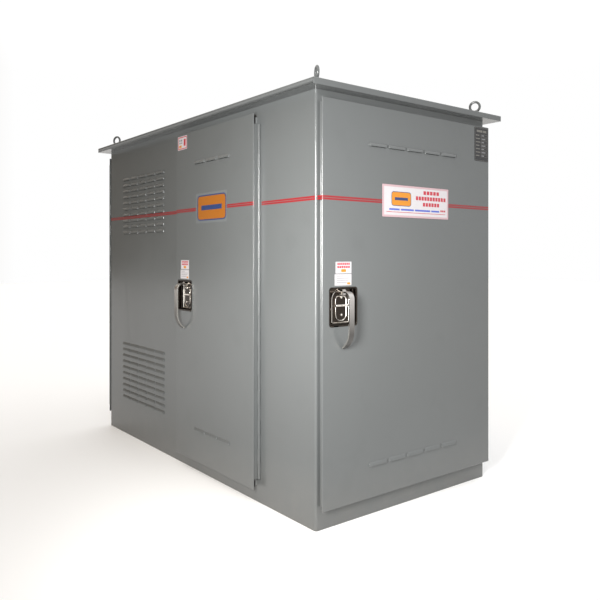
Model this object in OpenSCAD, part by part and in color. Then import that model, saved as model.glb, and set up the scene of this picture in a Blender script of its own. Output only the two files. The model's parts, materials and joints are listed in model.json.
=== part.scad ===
// Free-standing power distribution enclosure: a dry-type transformer and its
// switchgear in a painted steel housing with three doors. Millimetres.
// The origin is on the ground, under the middle of the body: +X is the right
// end with its door, -Y is the front, +Z is up.

/* [Enclosure] */
// Outside length of the body, along its front
body_w = 2680; // [2560:10:3000]
// Outside depth of the body, front to rear
body_d = 1380; // [1260:10:1700]
// Height of the walls, from the ground to the roof
body_h = 2256; // [2200:2:2600]
// Thickness of the wall, roof and door sheet
sheet = 3; // [2:0.5:4]
// Outside radius of the upright corner bends
corner_r = 14; // [10:1:20]
// Roof overhang past the walls
roof_over = 78; // [40:1:120]
// Depth of the roof's turned-down edge
roof_edge = 34; // [26:1:60]
// Radius of the bend along the roof's top edge
roof_bend = 7; // [4:1:12]
// Height of the base frame
base_h = 64; // [56:1:70]
// Wall thickness of the base frame's channels
base_t = 6; // [4:0.5:10]
// Width of the base frame's flanges
base_flange = 60; // [50:1:90]
// Thickness of the floor plate
floor_t = 4; // [3:0.5:6]
// Leg of the corner posts
post_leg = 24; // [18:1:24]
// Thickness of the corner posts
post_t = 5; // [4:0.5:8]
// Side of the pads that the lifting eyes screw into
pad_side = 76; // [64:1:90]
// Distance between anchor holes along the front
anchor_x = 2300; // [2000:10:2400]
// Distance between anchor holes across the base
anchor_y = 1310; // [1200:10:1600]
// Radius of the anchor holes, for M16
anchor_r = 9; // [7:0.5:11]

/* [Lifting eyes] */
// Middle of each eye, in from the outside of the walls
eye_inset = 38; // [32:1:60]
// Height of the middle of the ring above the roof
eye_rise = 62; // [55:1:80]
// Radius of the hole through the ring
eye_bore_r = 23.5; // [18:0.5:28]
// Thickness of the ring's bar
eye_bar = 15.5; // [12:0.5:20]
// Radius of the threaded shank, M20
eye_shank_r = 10; // [8:0.5:12]

/* [Doors] */
// Width of the front door
front_door_w = 926; // [800:2:1000]
// Middle of the front door, right of the middle of the body
front_door_x = 375; // [340:1:380]
// Underside of the front door above the ground
front_door_z = 80; // [70:1:110]
// Distance from each edge of an end door to the outside of the wall beside it
end_door_in = 7; // [7:1:40]
// Underside of the end doors above the ground
end_door_z = 108; // [90:1:140]
// Top of all the doors above the ground
door_top_z = 2210; // [2100:1:2215]
// How far the doors stand out from the walls
door_proud = 45; // [40:1:60]
// Gap between the door edges and the walls
door_gap = 3; // [2:0.5:6]
// Radius of the bends round a door's face
door_bend = 5; // [4:0.5:8]
// How far a door laps over its opening on each side
door_lap = 18; // [16:0.5:18]
// Height of the gutter lip round each opening
lip_h = 22; // [15:1:26]
// Width of the door seals
seal_w = 14; // [10:1:14]

/* [Louvres] */
// Length of one louvre
louvre_len = 129; // [100:1:140]
// Distance from one column of louvres to the next
louvre_pitch = 146; // [144:1:170]
// Height of one louvre
louvre_rise = 22; // [16:1:28]
// How far a louvre stands out
louvre_proud = 10; // [6:0.5:12]
// Distance from one row of louvres to the next
row_pitch = 46.5; // [40:0.5:55]
// Rows in each vent
vent_rows = 10; // [4:1:10]
// Columns in each vent
vent_cols = 5; // [2:1:5]
// Height of the top row of louvres
louvre_top_z = 2003; // [1950:1:2050]
// Height of the bottom row of louvres
louvre_bottom_z = 289; // [260:1:330]
// Middle of the front vents, left of the middle of the body
vent_x = 717; // [690:1:740]

/* [Hinges] */
// Radius of the hinge pins
pin_r = 3; // [2.5:0.5:4]
// Outside radius of the hinge knuckles
knuckle_r = 6.5; // [6:0.5:7]
// Thickness of the hinge leaves
leaf_t = 2; // [1.5:0.5:2]
// Knuckles along each hinge
knuckles = 24; // [12:2:40]
// Length that the hinge stops short of each end of the door
hinge_short = 60; // [40:1:120]

/* [Handles] */
// Width of the handle pans
pan_w = 194; // [170:1:210]
// Height of the handle pans
pan_h = 204; // [180:1:230]
// Depth of the handle pans
pan_depth = 26; // [20:1:28]
// Middle of the front pan, in from the edge of its door
front_pan_in = 118; // [112:1:150]
// Middle of the end pans, in from the edges of their doors
end_pan_in = 140; // [130:1:200]
// Height of the middle of the pans
pan_z = 1141; // [1000:1:1250]
// Middle of the spindle below the top edge of the pan
hub_drop = 26; // [26:1:36]
// Width of the lever's strap
lever_w = 34; // [26:1:40]
// Thickness of the lever's strap
lever_t = 8; // [6:0.5:10]
// How far the lever stands out from the face of the door
lever_proud = 67; // [55:1:80]
// Length of the lever below its spindle
lever_len = 289; // [260:1:320]
// Radius of the spindle
spindle_r = 8; // [6:0.5:9]
// Distance from the spindle to the rod pins
cam_r = 25; // [20:0.5:30]
// Width of the latch rods
rod_w = 20; // [16:1:22]
// Thickness of the latch rods
rod_t = 5; // [4:0.5:6]
// How far the rods reach past the opening's edge
rod_reach = 20; // [14:1:22]

/* [Transformer] */
// Middle of the core, left of the middle of the body
core_x = 725; // [700:1:745]
// Distance between the legs of the core
leg_pitch = 350; // [346:1:380]
// Width and depth of the core's legs and yokes
core_leg = 150; // [130:1:150]
// Height of the core's windows
window_h = 620; // [560:5:760]
// Inside radius of the low-voltage windings
lv_in = 110; // [108:1:112]
// Thickness of the low-voltage windings
lv_t = 18; // [12:1:20]
// Inside radius of the high-voltage windings
hv_in = 140; // [136:1:142]
// Thickness of the high-voltage windings
hv_t = 27; // [20:1:30]
// Gap between the windings and the yokes
coil_gap = 30; // [25:1:50]

/* [Switchgear] */
// Middle of the main breaker above the ground
main_z = 1350; // [1250:5:1500]
// Distance between the poles of a breaker
pole_pitch = 70; // [60:1:80]
// Height of the breakers
breaker_h = 275; // [240:1:320]
// Depth of the breakers
breaker_d = 105; // [90:1:130]
// Toggle travel from on to off, in degrees
toggle_turn = 40; // [25:1:45]

/* [Hidden] */

eps = 1;
fine = 48;
small = 24;
run_gap = 0.05;
slip_gap = 0.5;

paint = [0.55, 0.56, 0.56];
dark = [0.16, 0.16, 0.17];
bright = [0.80, 0.80, 0.80];
copper = [0.78, 0.47, 0.28];

// Enclosure
in_x = body_w / 2 - sheet;
in_y = body_d / 2 - sheet;
floor_z = base_h + floor_t;
roof_top = body_h + roof_edge;
roof_under = roof_top - sheet;
pad_t = 12;
eye_x = body_w / 2 - eye_inset;
eye_y = body_d / 2 - eye_inset;
eye_foot_r = 21;
eye_foot_h = 11;
eye_neck_r = 12;
eye_land = 0.8;

// Louvres and the bolted cover behind the transformer
hood_skin = 2;
vent_span = (vent_rows - 1) * row_pitch;
cover_w = 1040;
cover_z = [150, 2130];
cover_rim = 30;
screw_r = 4;
screw_len = 14;
screw_head_r = 8;
screw_head_h = 5;
screw_cols = 4;
screw_rows = 7;
screw_in = cover_rim / 2;
screw_pitch = [(cover_w - cover_rim) / (screw_cols - 1),
               (cover_z[1] - cover_z[0] - cover_rim) / (screw_rows - 1)];

// Doors, each in its own frame: x along the wall towards the hinge, -y outwards
hinge_side = knuckle_r + 1;
hinge_out = knuckle_r + leaf_t + 1.5;
leaf_w = 22;
leaf_reach = 4.5;
knuckle_gap = 0.3;
knuckle_web = 6;
end_door_w = body_d - 2 * end_door_in;
opening_top = door_top_z - door_lap;
face_in = door_proud - sheet;
front_handle_x = front_pan_in - front_door_w / 2;
end_handle_x = end_pan_in - end_door_w / 2;

// Handles, with their depths measured inwards from the outside of the wall
pan_t = 2;
pan_rim = 8;
pan_back = pan_depth - door_proud;
hub_r = 15;
hub_rise = pan_h / 2 - hub_drop;
hub_z = pan_z + hub_rise;
hub_out = door_proud + 8;
pan_corner = 16;
pan_inner_corner = 10;
plate_size = [84, 128];
plate_corner = 30;
plate_t = 4;
plate_drop = 8;
lock_bar = [80, 9, 10];
bolt_z = [-42, 48];
bolt_r = 6;
strap_start = door_proud + pan_t + 1;
cam_t = 5;
cam_in = 1.5;
cam_end_r = 10;
rod_in = cam_in + cam_t + 1.5;
rod_pin_r = 4;
rod_x = 22;
pin_drop = cam_r * sin(45);
slot_play = 1;
slot_wall = 2;
head_h = 26;
guide_w = 34;
guide_foot = 25;
guide_past = 5;
guide_near = [160, 260];
guide_far = 90;
strike_w = 50;
strike_h = 22;

// Name board and rating plate on the right door, about the middle of its face
board_size = [547, 2, 178];
board_at = [14.5, 1707];
rating_size = [136, 1.5, 210];
rating_at = [608, 2097];

// Partitions and equipment pans
left_part_x = -120;
right_part_x = 860;
part_flange = 25;
gutter = 70;
front_pan_y = 60;
right_pan_x = right_part_x + sheet + gutter;
pan_low = 150;
pan_high = 2150;
side_pan_low = 250;
side_pan_half = 580;
standoff_r = 12;
standoff_y = 540;
standoff_z = [300, 1200, 2100];
stud_room = 8;
window_side = 40;
window_end = 60;
cross_x = [-core_x - leg_pitch, -core_x + leg_pitch, 300, right_part_x];

// Cable openings in the floor: x and y of the middle, width, depth
floor_ports = [
    [-core_x, 175 - in_y, 420, 150],
    [560, 240 - in_y, 400, 260],
    [(right_pan_x + in_x) / 2 + 20, 0, 240, 800]
];
gland_lap = 20;

// Transformer
rail_h = 80;
rail_w = 80;
rail_t = 6;
rail_half = 330;
foot_h = 20;
foot_w = 76;
foot_y = 280;
core_z = floor_z + foot_h + rail_h;
core_h = window_h + 2 * core_leg;
coil_h = window_h - 2 * coil_gap;
coil_z = core_z + core_leg + coil_gap;
coil_out = hv_in + hv_t;
clamp_h = core_leg - 30;
clamp_d = 60;
clamp_t = 8;
clamp_len = 2 * leg_pitch + 2 * coil_out - 20;
clamp_z = [core_z + 15, core_z + core_h - core_leg + 15];
tie_x = clamp_len / 2 - 12;
tie_y = core_leg / 2 + clamp_d - 22;
tie_r = 8;
tie_past = 24;
nut_r = 14;
nut_h = 13;
block_at = [75, 112];
block_size = [30, 36];
terminal_r = 12;
terminal_in = 60;
terminal_len = 58;
terminal_sunk = 3;
link_t = 10;
link_r = 4.5;
link_eye = 7;
link_out = [22, 38];

// Busbars
bus_y = core_leg / 2 + clamp_d + 10;
bus_t = 10;
bus_w = 50;
spacer = 14;
drop_t = 8;
drop_w = 40;
stud_r = 8;
boss_r = 14;
tap_h = 25;
tap_w = 10;
riser_gap = 8;
line_z = [1660, 1570, 1480];
load_z = [1150, 1060, 970];

// Terminal bars
lug_bar_t = 8;
lug_bar_h = 40;
lug_pitch = 40;
lug_hole_r = 5.5;
neutral_len = 520;
neutral_stand = 40;
neutral_z = 780;
ground_len = 640;
ground_stand = 25;
ground_z = 320;

// Breakers
main_x = 370;
feeder_y = 60;
feeder_z = [1560, 1150];
breaker_w = 3 * pole_pitch;
stud_rise = breaker_h / 2 - 28;
nose_h = 150;
nose_d = 20;
pocket_w = 34;
pocket_h = 64;
toggle_r = 13;
toggle_in = 45;
toggle_out = 36;
toggle_w = 20;
toggle_t = 10;
axle_r = 4;
axle_in = 6;
lug_bay = [30, 40, 36];

// ---------- general shapes ----------

module block(x0, x1, y0, y1, z0, z1)
    translate([x0, y0, z0]) cube([x1 - x0, y1 - y0, z1 - z0]);

// Rectangle with true round corners, about its middle
module round_rect(w, d, r) {
    square([w - 2 * r, d], center = true);
    square([w, d - 2 * r], center = true);
    for (x = [-1, 1], y = [-1, 1])
        translate([x * (w / 2 - r), y * (d / 2 - r)]) circle(r = r, $fn = fine);
}

// Strip along x from y = 0 out to y = -d, whose two outer corners are round
module bent_strip(w, d, r) {
    translate([-w / 2, -d + r]) square([w, d - r]);
    translate([-w / 2 + r, -d]) square([w - 2 * r, r + eps]);
    for (x = [-1, 1])
        translate([x * (w / 2 - r), -d + r]) circle(r = r, $fn = fine);
}

// Block against the plane y = 0 whose face edges are all bent to radius r
module bent_box(w, h, d, r) intersection() {
    linear_extrude(h) bent_strip(w, d, r);
    translate([-w / 2, 0, h / 2]) rotate([90, 0, 90])
        linear_extrude(w) rotate(-90) bent_strip(h, d, r);
}

// Frames of the three doors: x towards the hinge, -y out of the wall
module at_front() translate([front_door_x, -body_d / 2, 0]) children();
module at_right() translate([body_w / 2, 0, 0]) rotate(90) children();
module at_left() translate([-body_w / 2, 0, 0]) rotate(-90) children();

// ---------- louvres ----------

// Side view of a column of hoods: an arc from the sheet out to the lip
module hood_side(rows, proud, rise, inset) {
    arc_r = (proud * proud + rise * rise) / (2 * proud);
    for (row = [0 : rows - 1])
        translate([0, -row * row_pitch - rise / 2]) intersection() {
            translate([arc_r - proud, 0]) circle(r = arc_r - inset, $fn = 96);
            translate([-proud, inset > 0 ? -eps : 0])
                square([proud + (inset > 0 ? sheet + 2 * eps : eps), rise + eps]);
        }
}

// Plan view of a row of hoods, with round ends
module hood_plan(cols, proud, inset) {
    depth = inset > 0 ? sheet + 2 * eps : eps;
    for (col = [0 : cols - 1])
        translate([(col - (cols - 1) / 2) * louvre_pitch, 0]) {
            translate([-louvre_len / 2 + inset, 0])
                square([louvre_len - 2 * inset, depth]);
            translate([-louvre_len / 2 + proud, -proud + inset])
                square([louvre_len - 2 * proud, proud - inset + eps]);
            for (side = [-1, 1]) intersection() {
                translate([side * (louvre_len / 2 - proud), 0])
                    circle(r = proud - inset, $fn = small);
                translate([-louvre_len / 2, -proud]) square([louvre_len, proud + eps]);
            }
        }
}

// Solid of a field of louvres; inset 0 is its outside, more is its hollow
module hoods(cols, rows, inset) {
    span = cols * louvre_pitch;
    intersection() {
        translate([-span / 2, 0, 0]) rotate([90, 0, 90])
            linear_extrude(span) hood_side(rows, louvre_proud, louvre_rise, inset);
        translate([0, 0, -rows * row_pitch])
            linear_extrude((rows + 1) * row_pitch) hood_plan(cols, louvre_proud, inset);
    }
}

// Both vents of a wall, above and below
module vent_pair(inset) {
    translate([0, 0, louvre_top_z]) hoods(vent_cols, vent_rows, inset);
    translate([0, 0, louvre_bottom_z + vent_span]) hoods(vent_cols, vent_rows, inset);
}

// ---------- base ----------

module base_frame() color(paint) {
    half = base_flange / 2;
    difference() {
        linear_extrude(base_h) round_rect(2 * in_x, 2 * in_y, corner_r - sheet);
        block(-in_x + base_flange, in_x - base_flange,
              -in_y + base_flange, in_y - base_flange, -eps, base_h + eps);
        block(-in_x + base_t, in_x - base_t, -in_y + base_t, in_y - base_t,
              base_t, base_h - base_t);
        for (x = [-1, 1], y = [-1, 1])
            translate([x * anchor_x / 2, y * anchor_y / 2, -eps])
                cylinder(r = anchor_r, h = base_t + 2 * eps, $fn = fine);
    }
    for (x = cross_x) translate([x, 0, 0]) difference() {
        block(-half, half, -in_y + base_t, in_y - base_t, 0, base_h);
        block(-half + base_t, half + eps, -in_y, in_y, base_t, base_h - base_t);
    }
}

module floor_plate() color(paint) difference() {
    block(-in_x, in_x, -in_y, in_y, base_h, floor_z);
    for (x = [-1, 1], y = [-1, 1])
        translate([x * in_x, y * in_y, base_h])
            cube([2 * post_leg + 1, 2 * post_leg + 1, 3 * floor_t], center = true);
    for (p = floor_ports) translate([p[0], p[1], base_h])
        cube([p[2], p[3], 3 * floor_t], center = true);
}

module gland_plates() color(bright)
    for (p = floor_ports) translate([p[0], p[1], floor_z + sheet / 2])
        cube([p[2] + 2 * gland_lap, p[3] + 2 * gland_lap, sheet], center = true);

// ---------- walls and roof ----------

// Front half of the wall's plan: the front sheet and both round corners
module wall_plan() intersection() {
    difference() {
        round_rect(body_w, body_d, corner_r);
        round_rect(body_w - 2 * sheet, body_d - 2 * sheet, corner_r - sheet);
    }
    translate([-body_w / 2, -body_d / 2]) square([body_w, corner_r]);
}

// Opening behind a door, in the door's frame, from y0 to y1
module opening(w, z0, grow, y0, y1) {
    half = w / 2 - door_lap + grow;
    block(-half, half, y0, y1, z0 + door_lap - grow, opening_top + grow);
}

// Gutter lip round an opening, standing out of the wall that it is part of
module gutter_lip(w, z0) difference() {
    opening(w, z0, 0, -lip_h, sheet / 2);
    opening(w, z0, -sheet, -lip_h - eps, sheet);
}

module front_panel() color(paint) {
    difference() {
        union() {
            linear_extrude(body_h) wall_plan();
            translate([-vent_x, -body_d / 2, 0]) vent_pair(0);
        }
        translate([-vent_x, -body_d / 2, 0]) vent_pair(hood_skin);
        at_front() opening(front_door_w, front_door_z, -sheet, -eps, sheet + eps);
    }
    at_front() gutter_lip(front_door_w, front_door_z);
}

// Places of the cover's screws: all round its rim
module at_cover_screws() for (col = [0 : screw_cols - 1], row = [0 : screw_rows - 1])
    if (col % (screw_cols - 1) == 0 || row % (screw_rows - 1) == 0)
        translate([-vent_x - cover_w / 2 + screw_in + col * screw_pitch[0],
                   body_d / 2 + sheet, cover_z[0] + screw_in + row * screw_pitch[1]])
            rotate([90, 0, 0]) children();

module cover_holes() at_cover_screws() translate([0, 0, -eps])
    cylinder(r = screw_r + run_gap, h = 2 * sheet + 2 * eps, $fn = small);

module rear_panel() color(paint) difference() {
    linear_extrude(body_h) rotate(180) wall_plan();
    translate([-vent_x, 0, 0])
        block(cover_rim - cover_w / 2, cover_w / 2 - cover_rim, in_y - eps,
              body_d / 2 + eps, cover_z[0] + cover_rim, cover_z[1] - cover_rim);
    cover_holes();
}

module rear_cover() color(paint) difference() {
    translate([-vent_x, body_d / 2, 0]) {
        block(-cover_w / 2, cover_w / 2, 0, sheet, cover_z[0], cover_z[1]);
        translate([0, sheet, 0]) rotate(180) vent_pair(0);
    }
    translate([-vent_x, body_d / 2 + sheet, 0]) rotate(180) vent_pair(hood_skin);
    cover_holes();
}

module rear_cover_screws() color(bright) at_cover_screws() {
    translate([0, 0, -screw_head_h]) cylinder(r = screw_head_r, h = screw_head_h, $fn = 6);
    translate([0, 0, -eps]) cylinder(r = screw_r, h = screw_len + eps, $fn = small);
}

// Header, sill and jambs round an end door, between the round corners
module end_frame() color(paint) {
    difference() {
        block(corner_r - body_d / 2, body_d / 2 - corner_r, 0, sheet, 0, body_h);
        opening(end_door_w, end_door_z, -sheet, -eps, sheet + eps);
    }
    gutter_lip(end_door_w, end_door_z);
}

module right_end_frame() at_right() end_frame();
module left_end_frame() at_left() end_frame();

// Plan of a corner angle, its outer edge cut back to clear the wall's round bend
module post_plan() {
    inner = corner_r + post_t * (sqrt(2) - 1);
    polygon([[-post_leg, 0], [-corner_r, 0], [0, -corner_r], [0, -post_leg],
             [-post_t, -post_leg], [-post_t, -inner], [-inner, -post_t],
             [-post_leg, -post_t]]);
}

// Angle in each corner, with a tapped pad under the roof for the lifting eye
module corner_post() difference() {
    union() {
        translate([0, 0, base_h]) linear_extrude(roof_under - base_h) post_plan();
        block(-pad_side, -post_t, -pad_side, -post_t, roof_under - pad_t, roof_under);
    }
    translate([sheet - eye_inset, sheet - eye_inset, roof_under - pad_t - eps])
        cylinder(r = eye_shank_r + run_gap, h = pad_t + 2 * eps, $fn = fine);
}

module corner_posts() color(paint) {
    for (turn = [0, 180]) rotate(turn) {
        translate([in_x, in_y, 0]) corner_post();
        mirror([1, 0, 0]) translate([in_x, in_y, 0]) corner_post();
    }
}

module roof_cap() color(paint) {
    w = body_w + 2 * roof_over;
    d = body_d + 2 * roof_over;
    difference() {
        intersection() {
            translate([0, 0, body_h]) linear_extrude(roof_edge)
                round_rect(w, d, roof_bend);
            translate([-w / 2, 0, body_h]) rotate([90, 0, 90])
                linear_extrude(w) rotate(180) bent_strip(d, roof_edge, roof_bend);
            translate([0, d / 2, body_h]) rotate([90, 0, 0])
                linear_extrude(d) rotate(180) bent_strip(w, roof_edge, roof_bend);
        }
        block(sheet - w / 2, w / 2 - sheet, sheet - d / 2, d / 2 - sheet,
              body_h + sheet, roof_under);
        block(-in_x, in_x, -in_y, in_y, body_h - eps, body_h + 2 * sheet);
        for (x = [-1, 1], y = [-1, 1])
            translate([x * eye_x, y * eye_y, roof_under - eps])
                cylinder(r = eye_shank_r + slip_gap, h = sheet + 2 * eps, $fn = fine);
    }
}

// Ring with a short straight land inside, on a shoulder and a threaded shank
module lifting_eye() {
    translate([0, 0, eye_rise]) rotate([90, 0, 0]) rotate_extrude($fn = 96)
        intersection() {
            translate([eye_bore_r + eye_bar / 2 - eye_land, 0])
                circle(d = eye_bar, $fn = fine);
            translate([eye_bore_r, -eye_bar / 2]) square([eye_bar, eye_bar]);
        }
    difference() {
        union() {
            cylinder(r = eye_foot_r, h = eye_foot_h, $fn = fine);
            cylinder(r = eye_neck_r, h = eye_rise - eye_bore_r - eye_bar / 4, $fn = fine);
        }
        translate([0, 0, eye_rise]) rotate([90, 0, 0])
            cylinder(r = eye_bore_r + eye_bar / 8, h = 3 * eye_foot_r, center = true, $fn = 96);
    }
    translate([0, 0, -sheet - pad_t]) cylinder(r = eye_shank_r, h = sheet + pad_t + eps,
                                               $fn = fine);
}

module lifting_eyes() color(paint) for (x = [-1, 1], y = [-1, 1])
    translate([x * eye_x, y * eye_y, roof_top])
        rotate(x * y * atan2(eye_y, eye_x)) lifting_eye();

// ---------- partitions and equipment pans ----------

// Upright plate across the housing, with folded edges and a window for busbars
module partition(x, window) color(bright) {
    difference() {
        block(x, x + sheet, -in_y, in_y, floor_z, body_h);
        block(x - eps, x + sheet + eps, bus_y - window_side,
              bus_y + bus_t + window_side, window[0], window[1]);
    }
    for (y = [0, 1]) mirror([0, y, 0])
        block(x - part_flange, x - run_gap, in_y - sheet, in_y, floor_z, body_h);
}

module left_partition()
    partition(left_part_x, [line_z[2] - window_end, line_z[0] + window_end]);
module right_partition()
    partition(right_part_x, [load_z[2] - window_end, load_z[0] + window_end]);

module front_back_pan() color(bright) difference() {
    block(left_part_x + sheet, right_part_x, front_pan_y, front_pan_y + sheet,
          pan_low, pan_high);
    for (pole = [-1 : 1], side = [-1, 1])
        translate([main_x + pole * pole_pitch, front_pan_y - eps,
                   main_z + side * stud_rise])
            rotate([-90, 0, 0])
                cylinder(r = stud_r + stud_room, h = sheet + 2 * eps, $fn = fine);
}

module right_back_pan() color(bright) difference() {
    union() {
        block(right_pan_x, right_pan_x + sheet, -side_pan_half, side_pan_half,
              side_pan_low, pan_high);
        for (y = [-standoff_y, standoff_y], z = standoff_z)
            translate([right_part_x + sheet, y, z]) rotate([0, 90, 0])
                cylinder(r = standoff_r, h = gutter + eps, $fn = small);
    }
    for (pole = [-1 : 1], z = feeder_z)
        translate([right_pan_x - eps, feeder_y + pole * pole_pitch, z + stud_rise])
            rotate([0, 90, 0])
                cylinder(r = stud_r + stud_room, h = sheet + 2 * eps, $fn = fine);
}

// ---------- transformer ----------

module at_core() translate([-core_x, 0, 0]) children();
module at_legs() at_core() for (leg = [-1 : 1]) translate([leg * leg_pitch, 0, 0])
    children();

module core() color(dark) at_core() difference() {
    half = leg_pitch + core_leg / 2;
    block(-half, half, -core_leg / 2, core_leg / 2, core_z, core_z + core_h);
    for (side = [-1, 1]) translate([side * leg_pitch / 2, 0, core_z + core_h / 2])
        cube([leg_pitch - core_leg, 2 * core_leg, window_h], center = true);
}

module winding(r_in, t) difference() {
    cylinder(r = r_in + t, h = coil_h, $fn = 96);
    translate([0, 0, -eps]) cylinder(r = r_in, h = coil_h + 2 * eps, $fn = 96);
}

module lv_windings() color(copper) at_legs() translate([0, 0, coil_z])
    winding(lv_in, lv_t);

module hv_windings() color([0.45, 0.13, 0.10]) at_legs() translate([0, 0, coil_z]) {
    winding(hv_in, hv_t);
    for (z = [terminal_in, coil_h - terminal_in])
        translate([0, terminal_sunk - coil_out, z]) rotate([90, 0, 0])
            cylinder(r = terminal_r, h = terminal_len, $fn = small);
}

// Channel along the core, its web against the yoke
module clamp_channel(z) {
    inner = core_leg / 2;
    difference() {
        block(-clamp_len / 2, clamp_len / 2, inner, inner + clamp_d, z, z + clamp_h);
        block(-clamp_len / 2 - eps, clamp_len / 2 + eps, inner + clamp_t,
              inner + clamp_d + eps, z + clamp_t, z + clamp_h - clamp_t);
        for (x = [-1, 1]) translate([x * tie_x, tie_y, z - eps])
            cylinder(r = tie_r + slip_gap, h = clamp_h + 2 * eps, $fn = small);
    }
}

module core_clamps() color(paint) at_core() for (turn = [0, 180], z = clamp_z)
    rotate(turn) clamp_channel(z);

module core_rails() color(paint) at_core() for (x = [-leg_pitch, leg_pitch])
    difference() {
        block(x - rail_w / 2, x + rail_w / 2, -rail_half, rail_half,
              floor_z + foot_h, core_z);
        block(x - rail_w / 2 + rail_t, x + rail_w / 2 + eps, -rail_half - eps,
              rail_half + eps, floor_z + foot_h + rail_t, core_z - rail_t);
    }

module vibration_pads() color([0.1, 0.1, 0.1]) at_core()
    for (x = [-leg_pitch, leg_pitch], y = [-foot_y, foot_y])
        translate([x, y, floor_z + foot_h / 2]) cube([foot_w, foot_w, foot_h], center = true);

module tie_rods() color(bright) at_core() for (x = [-1, 1], y = [-1, 1])
    translate([x * tie_x, y * tie_y, 0]) {
        low = clamp_z[0] - tie_past;
        high = clamp_z[1] + clamp_h + tie_past;
        translate([0, 0, low]) cylinder(r = tie_r, h = high - low, $fn = small);
        for (z = [clamp_z[0] - nut_h, clamp_z[1] + clamp_h])
            translate([0, 0, z]) cylinder(r = nut_r, h = nut_h, $fn = 6);
    }

module coil_blocks() color([0.82, 0.74, 0.55]) at_legs()
    for (x = [-1, 1], y = [-1, 1], top = [0, 1]) {
        z0 = top ? coil_z + coil_h : clamp_z[0] + clamp_h;
        z1 = top ? clamp_z[1] : coil_z;
        translate([x * block_at[0], y * block_at[1], (z0 + z1) / 2])
            cube([block_size[0], block_size[1], z1 - z0], center = true);
    }

// Link from the terminal at the top of one coil to one at the bottom of another
module hv_link(from, to, out) {
    run = to - from;
    drop = coil_h - 2 * terminal_in;
    translate([from, -coil_out - out, coil_z + coil_h - terminal_in])
        rotate([90, 0, 0]) difference() {
            union() {
                for (p = [[0, 0], [run, -drop]]) translate([p[0], p[1], 0])
                    cylinder(r = terminal_r + link_eye, h = link_t, $fn = small);
                translate([0, 0, link_t / 2]) rotate([0, 0, atan2(-drop, run)])
                    rotate([0, 90, 0]) cylinder(r = link_r, h = norm([run, drop]), $fn = small);
            }
            for (p = [[0, 0], [run, -drop]]) translate([p[0], p[1], -eps])
                cylinder(r = terminal_r + run_gap, h = link_t + 2 * eps, $fn = small);
        }
}

module hv_links() color(copper) at_core() {
    hv_link(-leg_pitch, 0, link_out[0]);
    hv_link(0, leg_pitch, link_out[0]);
    hv_link(leg_pitch, -leg_pitch, link_out[1]);
}

// ---------- busbars ----------

// Rising bar at x and z0..z1, in front of the level bars, with its stud
module dropper(x, z_bar, z_stud) {
    front = bus_y - spacer - drop_t;
    low = min(z_bar, z_stud) - drop_w / 2;
    high = max(z_bar, z_stud) + drop_w / 2;
    block(x - drop_w / 2, x + drop_w / 2, front, front + drop_t, low, high);
    translate([x, front + eps, z_bar]) rotate([-90, 0, 0])
        cylinder(r = boss_r, h = spacer + drop_t - eps / 2, $fn = small);
    translate([x, front + eps, z_stud]) rotate([90, 0, 0])
        cylinder(r = stud_r, h = front + eps - front_pan_y, $fn = small);
}

module lv_busbars() color(copper) for (pole = [0 : 2]) {
    leg_x = (pole - 1) * leg_pitch - core_x;
    pole_x = main_x + (pole - 1) * pole_pitch;
    tap_z = coil_z + coil_h;
    winding_y = lv_in + lv_t / 2;
    block(leg_x - bus_w / 2, leg_x + bus_w / 2, winding_y - tap_w / 2,
          winding_y + tap_w / 2, tap_z, tap_z + tap_h);
    block(leg_x - bus_w / 2, leg_x + bus_w / 2, winding_y - tap_w / 2, bus_y + bus_t,
          tap_z + tap_h - bus_t, tap_z + tap_h);
    block(leg_x - bus_w / 2, leg_x + bus_w / 2, bus_y, bus_y + bus_t,
          tap_z + tap_h - bus_t, line_z[pole] + bus_w / 2);
    block(leg_x - bus_w / 2, pole_x + bus_w / 2, bus_y, bus_y + bus_t,
          line_z[pole] - bus_w / 2, line_z[pole] + bus_w / 2);
    dropper(pole_x, line_z[pole], main_z + stud_rise);
}

module feeder_busbars() color(copper) for (pole = [0 : 2]) {
    pole_x = main_x + (pole - 1) * pole_pitch;
    pole_y = feeder_y + (pole - 1) * pole_pitch;
    z = load_z[pole];
    turn_x = right_part_x + sheet + 20;
    riser_x = turn_x + bus_t + riser_gap;
    dropper(pole_x, z, main_z - stud_rise);
    block(pole_x - bus_w / 2, turn_x + bus_t, bus_y, bus_y + bus_t,
          z - bus_w / 2, z + bus_w / 2);
    block(turn_x, turn_x + bus_t, pole_y - drop_w / 2, bus_y + bus_t,
          z - bus_w / 2, z + bus_w / 2);
    translate([turn_x + bus_t - eps, pole_y, z]) rotate([0, 90, 0])
        cylinder(r = boss_r, h = riser_gap + 2 * eps, $fn = small);
    block(riser_x, riser_x + drop_t, pole_y - drop_w / 2, pole_y + drop_w / 2,
          z - bus_w / 2, feeder_z[0] + stud_rise + drop_w / 2);
    for (f = feeder_z) translate([riser_x + drop_t - eps, pole_y, f + stud_rise])
        rotate([0, 90, 0])
            cylinder(r = stud_r, h = right_pan_x + sheet - riser_x - drop_t + eps,
                     $fn = small);
}

// Flat bar on two posts, drilled for cable lugs: x along the bar, -y outwards
module link_bar(len, stand) {
    difference() {
        block(-len / 2, len / 2, -stand - lug_bar_t, -stand, -lug_bar_h / 2, lug_bar_h / 2);
        for (x = [lug_pitch - len / 2 : lug_pitch : len / 2 - lug_pitch])
            translate([x, 0, 0]) rotate([90, 0, 0])
                cylinder(r = lug_hole_r, h = stand + lug_bar_t + eps, $fn = small);
    }
    for (side = [-1, 1]) translate([side * (len - lug_pitch) / 2, 0, 0]) rotate([90, 0, 0])
        cylinder(r = boss_r, h = stand + eps, $fn = small);
}

module neutral_bar() color(copper) translate([right_pan_x + sheet, feeder_y, neutral_z])
    rotate(90) link_bar(neutral_len, neutral_stand);

module ground_bar() color(copper) translate([main_x, front_pan_y, ground_z])
    link_bar(ground_len, ground_stand);

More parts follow.
